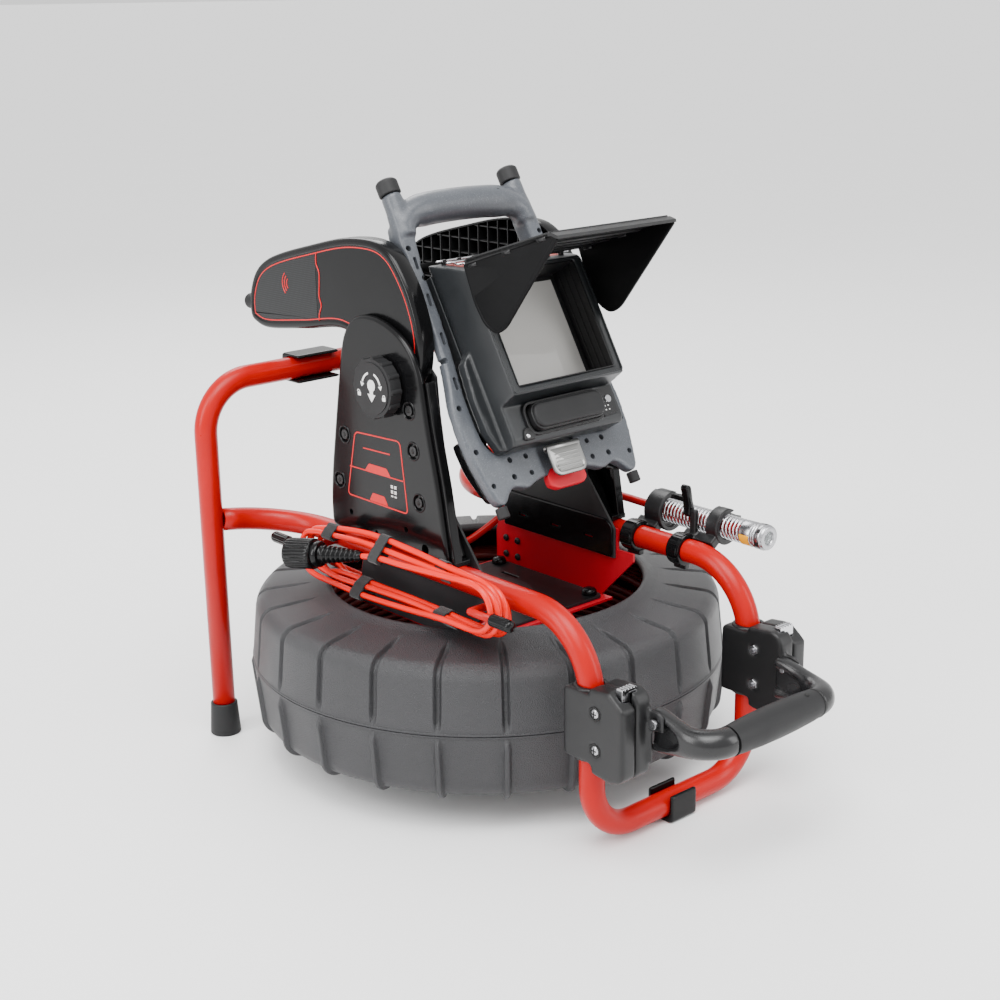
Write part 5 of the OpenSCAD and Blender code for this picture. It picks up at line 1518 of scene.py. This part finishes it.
slv = revolve("band_sleeve", [(9.2, -14), (13.2, -14), (13.4, -13.6), (13.4, -0.6), (13.1, 0), (9.2, 0)], P(150, -262, 264), (0, -1, 0), (1, 0, 0), 56, closed=True)
put(slv, "frame", MT["steel"])
V, F = [], []
n = 36
for k in range(n + 1):
    th = math.radians(175 + 165 * k / n)
    for h in (-13.2, -1.0 + 0.6 * math.sin(k * 1.3)):
        for r in (13.35, 13.62):
            V.append(P(150 + r * math.cos(th), -262 - h, 264 + r * math.sin(th)))
for k in range(n):
    b_, c_ = k * 4, k * 4 + 4
    F += [(b_ + 1, b_ + 3, c_ + 3, c_ + 1), (b_, c_, c_ + 2, b_ + 2), (b_, b_ + 1, c_ + 1, c_), (b_ + 2, c_ + 2, c_ + 3, b_ + 3)]
F += [(0, 2, 3, 1), (n * 4, n * 4 + 1, n * 4 + 3, n * 4 + 2)]
yb = fix_normals(mesh_obj("yellow_label", V, F))
e = yb.modifiers.new("edges", "EDGE_SPLIT")
e.split_angle = math.radians(40)
put(yb, "frame", MT["band_yellow"])
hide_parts("camera_band")

# ---------------------------------------------------------------- base plate details
bp_ = []
bp_.append(revolve("b", [(0, 166.9), (8.5, 166.9), (8.5, 169.4), (6.8, 170.2), (0, 170.2)], P(-52, 46, 0), (0, 0, 1), (1, 0, 0), 6))
bp_.append(revolve("b", [(11.5, 166.9), (14.5, 166.9), (14.5, 168.4), (13.8, 169), (11.5, 169)], P(-52, 46, 0), (0, 0, 1), (1, 0, 0), 40, closed=True))
bpj = join("base_bolt", bp_)
e = bpj.modifiers.new("edges", "EDGE_SPLIT")
e.split_angle = math.radians(40)
put(bpj, "frame", MT["steel"])
dm_ = [revolve("d", [(0, 0), (8.6, 0), (8.8, 1.2), (8.2, 4.6), (6.4, 6.8), (3.2, 7.8), (0, 8)], P(x, y, 167), (0, 0, 1), (1, 0, 0), 32) for x, y in ((-84, -78), (84, -78), (84, 74), (-84, 74))]
dmj = join("base_bumpers", dm_)
dmj.data.shade_smooth()
put(dmj, "frame", MT["gloss_black"])
# hex bolts on the right dock plate and its lower cover
dp = layered("dock_lower_cover", round_poly([(76, 213), (-102, 213), (-102, 248), (-92, 256), (76, 256)], [3, 6, 8, 5, 3]), [(0.3, 97.1), (0, 96.8), (0, 95.6), (0.4, 95.0), (1.2, 94.8), (2, 94.8)], lambda a, b, t: P(t, a, b), 40)
cut(dp, [boxcut((90, y, 229), (100, y + 16, 232.4)) for y in (-74, -20, 34)])
bevel(dp, 0.0003, 1, 50)
put(dp, "frame", MT["gloss_black"])
hx = []
for y, z in ((-40, 300), (-28, 410), (40, 330), (10, 300)):
    hx.append(revolve("h", [(0, 97.3), (6.8, 97.3), (6.8, 94.6), (5.6, 93.2), (0, 93.2)], P(0, y, z), (1, 0, 0), (0, 0, 1), 6))
hxj = join("dock_bolts", hx)
e = hxj.modifiers.new("edges", "EDGE_SPLIT")
e.split_angle = math.radians(30)
put(hxj, "frame", MT["gloss_black"])

# ---------------------------------------------------------------- sunshade: rounded side flaps, rim on the top plate
for side, s in (("left", -1), ("right", 1)):
    fo = round_poly([(57, 238), (189, 208.5), (194, 201), (82, 157), (66, 157.5), (54, 172), (51.5, 198)], [3, 4, 3, 9, 9, 9, 6], 7)
    lay = [(0.5, 79.2), (0, 79.5), (0, 81.4), (0.25, 81.8), (0.8, 82.0), (2.4, 82.0), (2.8, 81.7), (3.1, 81.3), (3.9, 81.3)]
    f1 = layered("sunshade_flap_" + side, fo, lay, lambda a, b, t, s=s: M(s * t, a, b), 40)
    put(f1, "sunshade", MT["flap_black"])
    if s > 0:
        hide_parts("sunshade_flaps")
    hn = join("flap_hinge_" + side, [revolve("h", [(0, -6), (2.2, -6), (2.2, 6), (0, 6)], M(s * 80.5, 70 + 52 * k, 231.5 - 10.6 * k), Vector(M(0, 130, -31) - M(0, 0, 0)), (1, 0, 0), 20) for k in range(3)])
    put(hn, "sunshade", MT["plastic_black"])


def shade_top(a, b, t):
    """a across, b along the plate from the hinge, t above its upper face."""
    n, u = 60 + b * 130 / 133.65, 241 - b * 31 / 133.65
    return M(a, n + t * 0.232, u + t * 0.973)


rim = ring_plate("sunshade_rim", round_poly([(-82, 2), (82, 2), (82, 133), (-82, 133)], [2, 2, 5, 5], 6), 0, 3.2, shade_top, -3.0, 1.4)
bevel(rim, 0.0006, 2)
put(rim, "sunshade", MT["plastic_black"])
rim2 = ring_plate("sunshade_panel_step", round_poly([(-74, 9), (74, 9), (74, 125), (-74, 125)], 6, 6), 0, 2.0, shade_top, -1.0, 0.7)
bevel(rim2, 0.0004, 2)
put(rim2, "sunshade", MT["plastic_black"])

# ---------------------------------------------------------------- floor, light
def floor():
    me = bpy.data.meshes.new("floor")
    me.from_pydata([(-2500, -2500, 0), (2500, -2500, 0), (2500, 2500, 0), (-2500, 2500, 0)], [], [(0, 1, 2, 3)])
    o = bpy.data.objects.new("floor", me)
    bpy.context.scene.collection.objects.link(o)
    m = mat("floor_white", (243, 243, 243), 0.55, vary=0.005, vscale=3, bump=0.0, spec=0.15, rvary=0.02)
    me.materials.append(m)
    return o


floor()
W = bpy.data.worlds.new("studio")
bpy.context.scene.world = W
W.use_nodes = True
wt = W.node_tree
bg = wt.nodes["Background"]
bg.inputs["Strength"].default_value = 1.25
tcw = wt.nodes.new("ShaderNodeTexCoord")
spx = wt.nodes.new("ShaderNodeSeparateXYZ")
wt.links.new(tcw.outputs["Generated"], spx.inputs[0])
wr = wt.nodes.new("ShaderNodeValToRGB")
wr.color_ramp.elements[0].position, wr.color_ramp.elements[1].position = 0.0, 0.5
wr.color_ramp.elements[0].color = (0.9, 0.9, 0.9, 1)
mid = wr.color_ramp.elements.new(0.12)
mid.color = (0.5, 0.5, 0.51, 1)
wr.color_ramp.elements[1].color = (1, 1, 1, 1)
wt.links.new(spx.outputs["Z"], wr.inputs["Fac"])
wt.links.new(wr.outputs["Color"], bg.inputs["Color"])


def area(name, loc, target, size, power, sy=None):
    d = bpy.data.lights.new(name, "AREA")
    d.shape = "RECTANGLE"
    d.size, d.size_y, d.energy = size, sy or size, power
    o = bpy.data.objects.new(name, d)
    bpy.context.scene.collection.objects.link(o)
    o.location = loc
    o.rotation_euler = (Vector(target) - Vector(loc)).to_track_quat("-Z", "Y").to_euler()
    return o


def sun(name, direction, strength, angle):
    d = bpy.data.lights.new(name, "SUN")
    d.energy, d.angle = strength, math.radians(angle)
    o = bpy.data.objects.new(name, d)
    bpy.context.scene.collection.objects.link(o)
    o.rotation_euler = Vector(direction).to_track_quat("-Z", "Y").to_euler()
    return o


sun("soft_sun", (0.55, 0.35, -1.0), 1.9, 40)
area("key_top", (-0.5, -0.7, 2.6), (0, 0, 0.25), 1.8, 60, 1.4)
area("side_left", (-2.4, 0.4, 1.4), (0, 0, 0.3), 0.8, 46, 2.0)
area("front_right", (1.4, -2.4, 1.4), (0, 0, 0.3), 0.9, 34, 2.0)
area("back_top", (0.9, 2.0, 2.2), (0, 0, 0.3), 1.5, 40)
